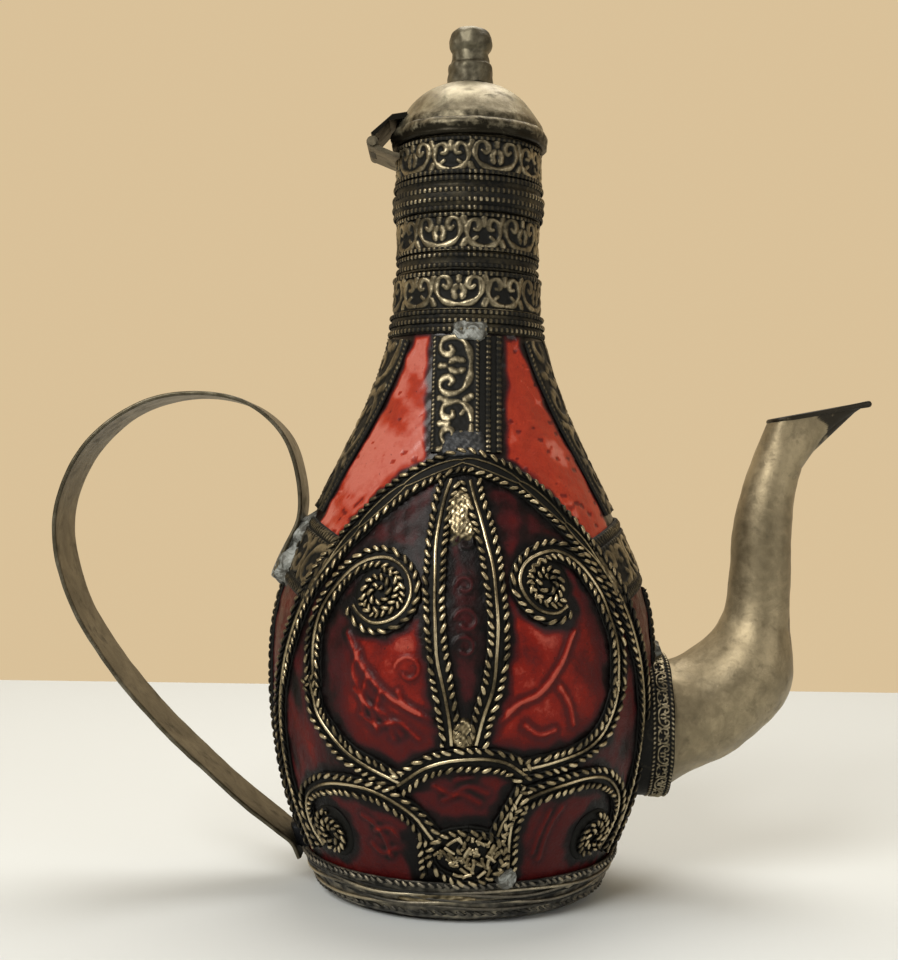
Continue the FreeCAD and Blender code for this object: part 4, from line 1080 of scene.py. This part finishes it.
# ---------------------------------------------------------------- handle
line = along_curve([(x, z) for x, z in HANDLE_PATH], 0.5)
ahead = np.gradient(line, axis=0)
ahead /= np.linalg.norm(ahead, axis=1)[:, None]
out = np.stack([-ahead[:, 1], ahead[:, 0]], 1)
half_w, half_t = HANDLE_WIDTH / 2 - 0.08, HANDLE_THICK / 2 - 0.04
section = [(-half_w, 0.0), (-half_w + 0.08, -half_t * 0.7), (-half_w + 0.3, -half_t)]
section += [(w, -half_t) for w in np.linspace(-half_w + 1, half_w - 1, 9)]
section += [(half_w - 0.3, -half_t), (half_w - 0.08, -half_t * 0.7), (half_w, 0.0)]
section += [(-w, -t) for w, t in section[1:-1]]
section = np.array(section)
y = np.broadcast_to(section[None, :, 0], (len(line), len(section)))
h = np.broadcast_to(section[None, :, 1], y.shape)
spots = np.stack([line[:, None, 0] + 0 * y, y, line[:, None, 1] + 0 * y], -1)
nibble = 0.10 * ripple(spots, 5.0, 41) - 0.08
y = y + nibble * np.sign(y) * (np.abs(y) > half_w - 0.5)
bow = 0.10 * ripple(spots * np.array([1, 0.5, 1]), 17.0, 42)
h = h + bow
points = np.stack([line[:, None, 0] + out[:, None, 0] * h, y, line[:, None, 1] + out[:, None, 1] * h], -1)
mesh = Mesh()
mesh.grid(points[:, ::-1], 1.0, False, True, True)
mesh.finish("handle_strap", HANDLE, "pot", "handle_brass", "handle", flat=50)


# ---------------------------------------------------------------- solder
def solder_patch(name, middle, wide, tall, thick, seed, metal=None, square=2.0, rough=1.0):
    """A lumpy patch of solder on the body at (angle, height); thick is its thickness below and above."""
    girth = float(skin(middle[1]))
    u, v = np.meshgrid(np.linspace(-1, 1, 80), np.linspace(-1, 1, 80), indexing="ij")
    a = middle[0] + np.degrees(u * wide / 2 / girth)
    z = middle[1] + v * tall / 2
    flat = polar(a, z, 0)
    edge = (np.abs(u) ** square + np.abs(v) ** square) ** (1 / square)
    edge = edge + 0.16 * rough * ripple(flat, 5.0, seed)
    body = 1 - step(0.62, 1.0, edge)
    full = thick[0] + (thick[1] - thick[0]) * (v + 1) / 2
    lumps = rough * (0.10 * ripple(flat, 2.6, seed + 1) + 0.05 * ripple(flat, 0.9, seed + 3))
    lift = -0.2 + (full + 0.2 + lumps) * body
    mesh = Mesh()
    worn = (0.3 + 0.5 * body) * (0.85 + 0.3 * rough * ripple(flat, 1.1, seed + 2))
    mesh.grid(polar(a, z, lift), worn, keep=edge < 1.02)
    mesh.finish(name, metal or SOLDER, "pot", "filigree_brass" if metal else "hinge_brass")


solder_patch("solder_foot_front", (15.5, 9.2), 5.0, 4.4, (1.9, 1.3), 51)
solder_patch("solder_neck_front", (0.5, 111.2), 8.5, 4.6, (0.95, 0.8), 52, square=3)
solder_patch("solder_handle_top", (-90.5, 68.0), 19.5, 15.6, (3.5, 2.7), 53, square=7, rough=0.4)
solder_patch("solder_handle_foot", (-90, 9.8), 16.0, 7.0, (2.3, 1.9), 55, PITCH, square=3, rough=0.5)
solder_patch("solder_spout_top", (88, 48.3), 9.0, 5.0, (2.6, 1.4), 56)
for turn, side in ((0, "front"), (180, "back")):
    solder_patch(f"{side}_leaf_crown_foil", (-1.6 + turn, 75.8), 5.6, 12.5, (0.55, 1.15), 57, FILIGREE)
    solder_patch(f"{side}_leaf_foot_foil", (0.2 + turn, 36.8), 5.0, 7.0, (1.0, 0.5), 58, FILIGREE)
    solder_patch(f"{side}_foot_smear", (-10.0 + turn, 5.2), 19.0, 3.2, (1.25, 1.2), 61, FILIGREE)
    solder_patch(f"{side}_strap_pitch", (-1.5 + turn, 89.2), 10.5, 6.5, (0.95, 0.62), 59, PITCH,
                 square=4, rough=0.25)

# ---------------------------------------------------------------- floor, light and camera
bpy.ops.mesh.primitive_plane_add(size=3, location=(0, FLOOR_BACK - 1.5, 0))
floor = bpy.context.object
floor.name = "floor"
paint = bpy.data.materials.new("floor")
paint.use_nodes = True
paint.node_tree.nodes["Principled BSDF"].inputs["Base Color"].default_value = (0.635, 0.67, 0.68, 1)
paint.node_tree.nodes["Principled BSDF"].inputs["Roughness"].default_value = 0.75
floor.data.materials.append(paint)

# A warm wall beyond the pot and a dim room on the near side.
world = bpy.data.worlds.new("studio")
world.use_nodes = True
nodes, links = world.node_tree.nodes, world.node_tree.links
place, split = nodes.new("ShaderNodeTexCoord"), nodes.new("ShaderNodeSeparateXYZ")
fade, shade = nodes.new("ShaderNodeMapRange"), nodes.new("ShaderNodeMix")
fade.inputs["From Min"].default_value, fade.inputs["From Max"].default_value = -0.5, 0.7
shade.data_type = "RGBA"
shade.inputs[6].default_value, shade.inputs[7].default_value = (0.13, 0.122, 0.11, 1), (0.70, 0.535, 0.32, 1)
links.new(place.outputs["Generated"], split.inputs["Vector"])
links.new(split.outputs["Y"], fade.inputs["Value"])
links.new(fade.outputs["Result"], shade.inputs[0])
links.new(shade.outputs[2], nodes["Background"].inputs["Color"])
nodes["Background"].inputs["Strength"].default_value = 1.0
bpy.context.scene.world = world


def soft_light(name, place, aim, size, watts, colour):
    data = bpy.data.lights.new(name, "AREA")
    data.shape, data.size, data.energy, data.color = "DISK", size, watts, colour
    light = bpy.data.objects.new(name, data)
    light.location = place
    light.rotation_euler = (Vector(aim) - Vector(place)).to_track_quat("-Z", "Y").to_euler()
    bpy.context.scene.collection.objects.link(light)


soft_light("key", (-0.42, -0.62, 0.62), (0, 0, 0.09), 0.5, 7.5, (1.0, 0.97, 0.92))
soft_light("fill", (0.75, -0.55, 0.35), (0, 0, 0.08), 0.5, 1.6, (1.0, 0.96, 0.9))
soft_light("top", (0.05, 0.25, 0.8), (0, 0, 0.1), 0.6, 4.5, (1.0, 0.97, 0.92))

camera = bpy.data.cameras.new("camera")
camera.sensor_fit, camera.sensor_height = "VERTICAL", 36
camera.lens = 52.5
camera.clip_start = 0.01
eye = bpy.data.objects.new("camera", camera)
eye.location = (-0.00316, -0.2876, 0.0822)
eye.rotation_euler = (math.radians(90), math.radians(-0.83), 0)
bpy.context.scene.collection.objects.link(eye)
bpy.context.scene.camera = eye
bpy.context.scene.view_settings.view_transform = "Standard"
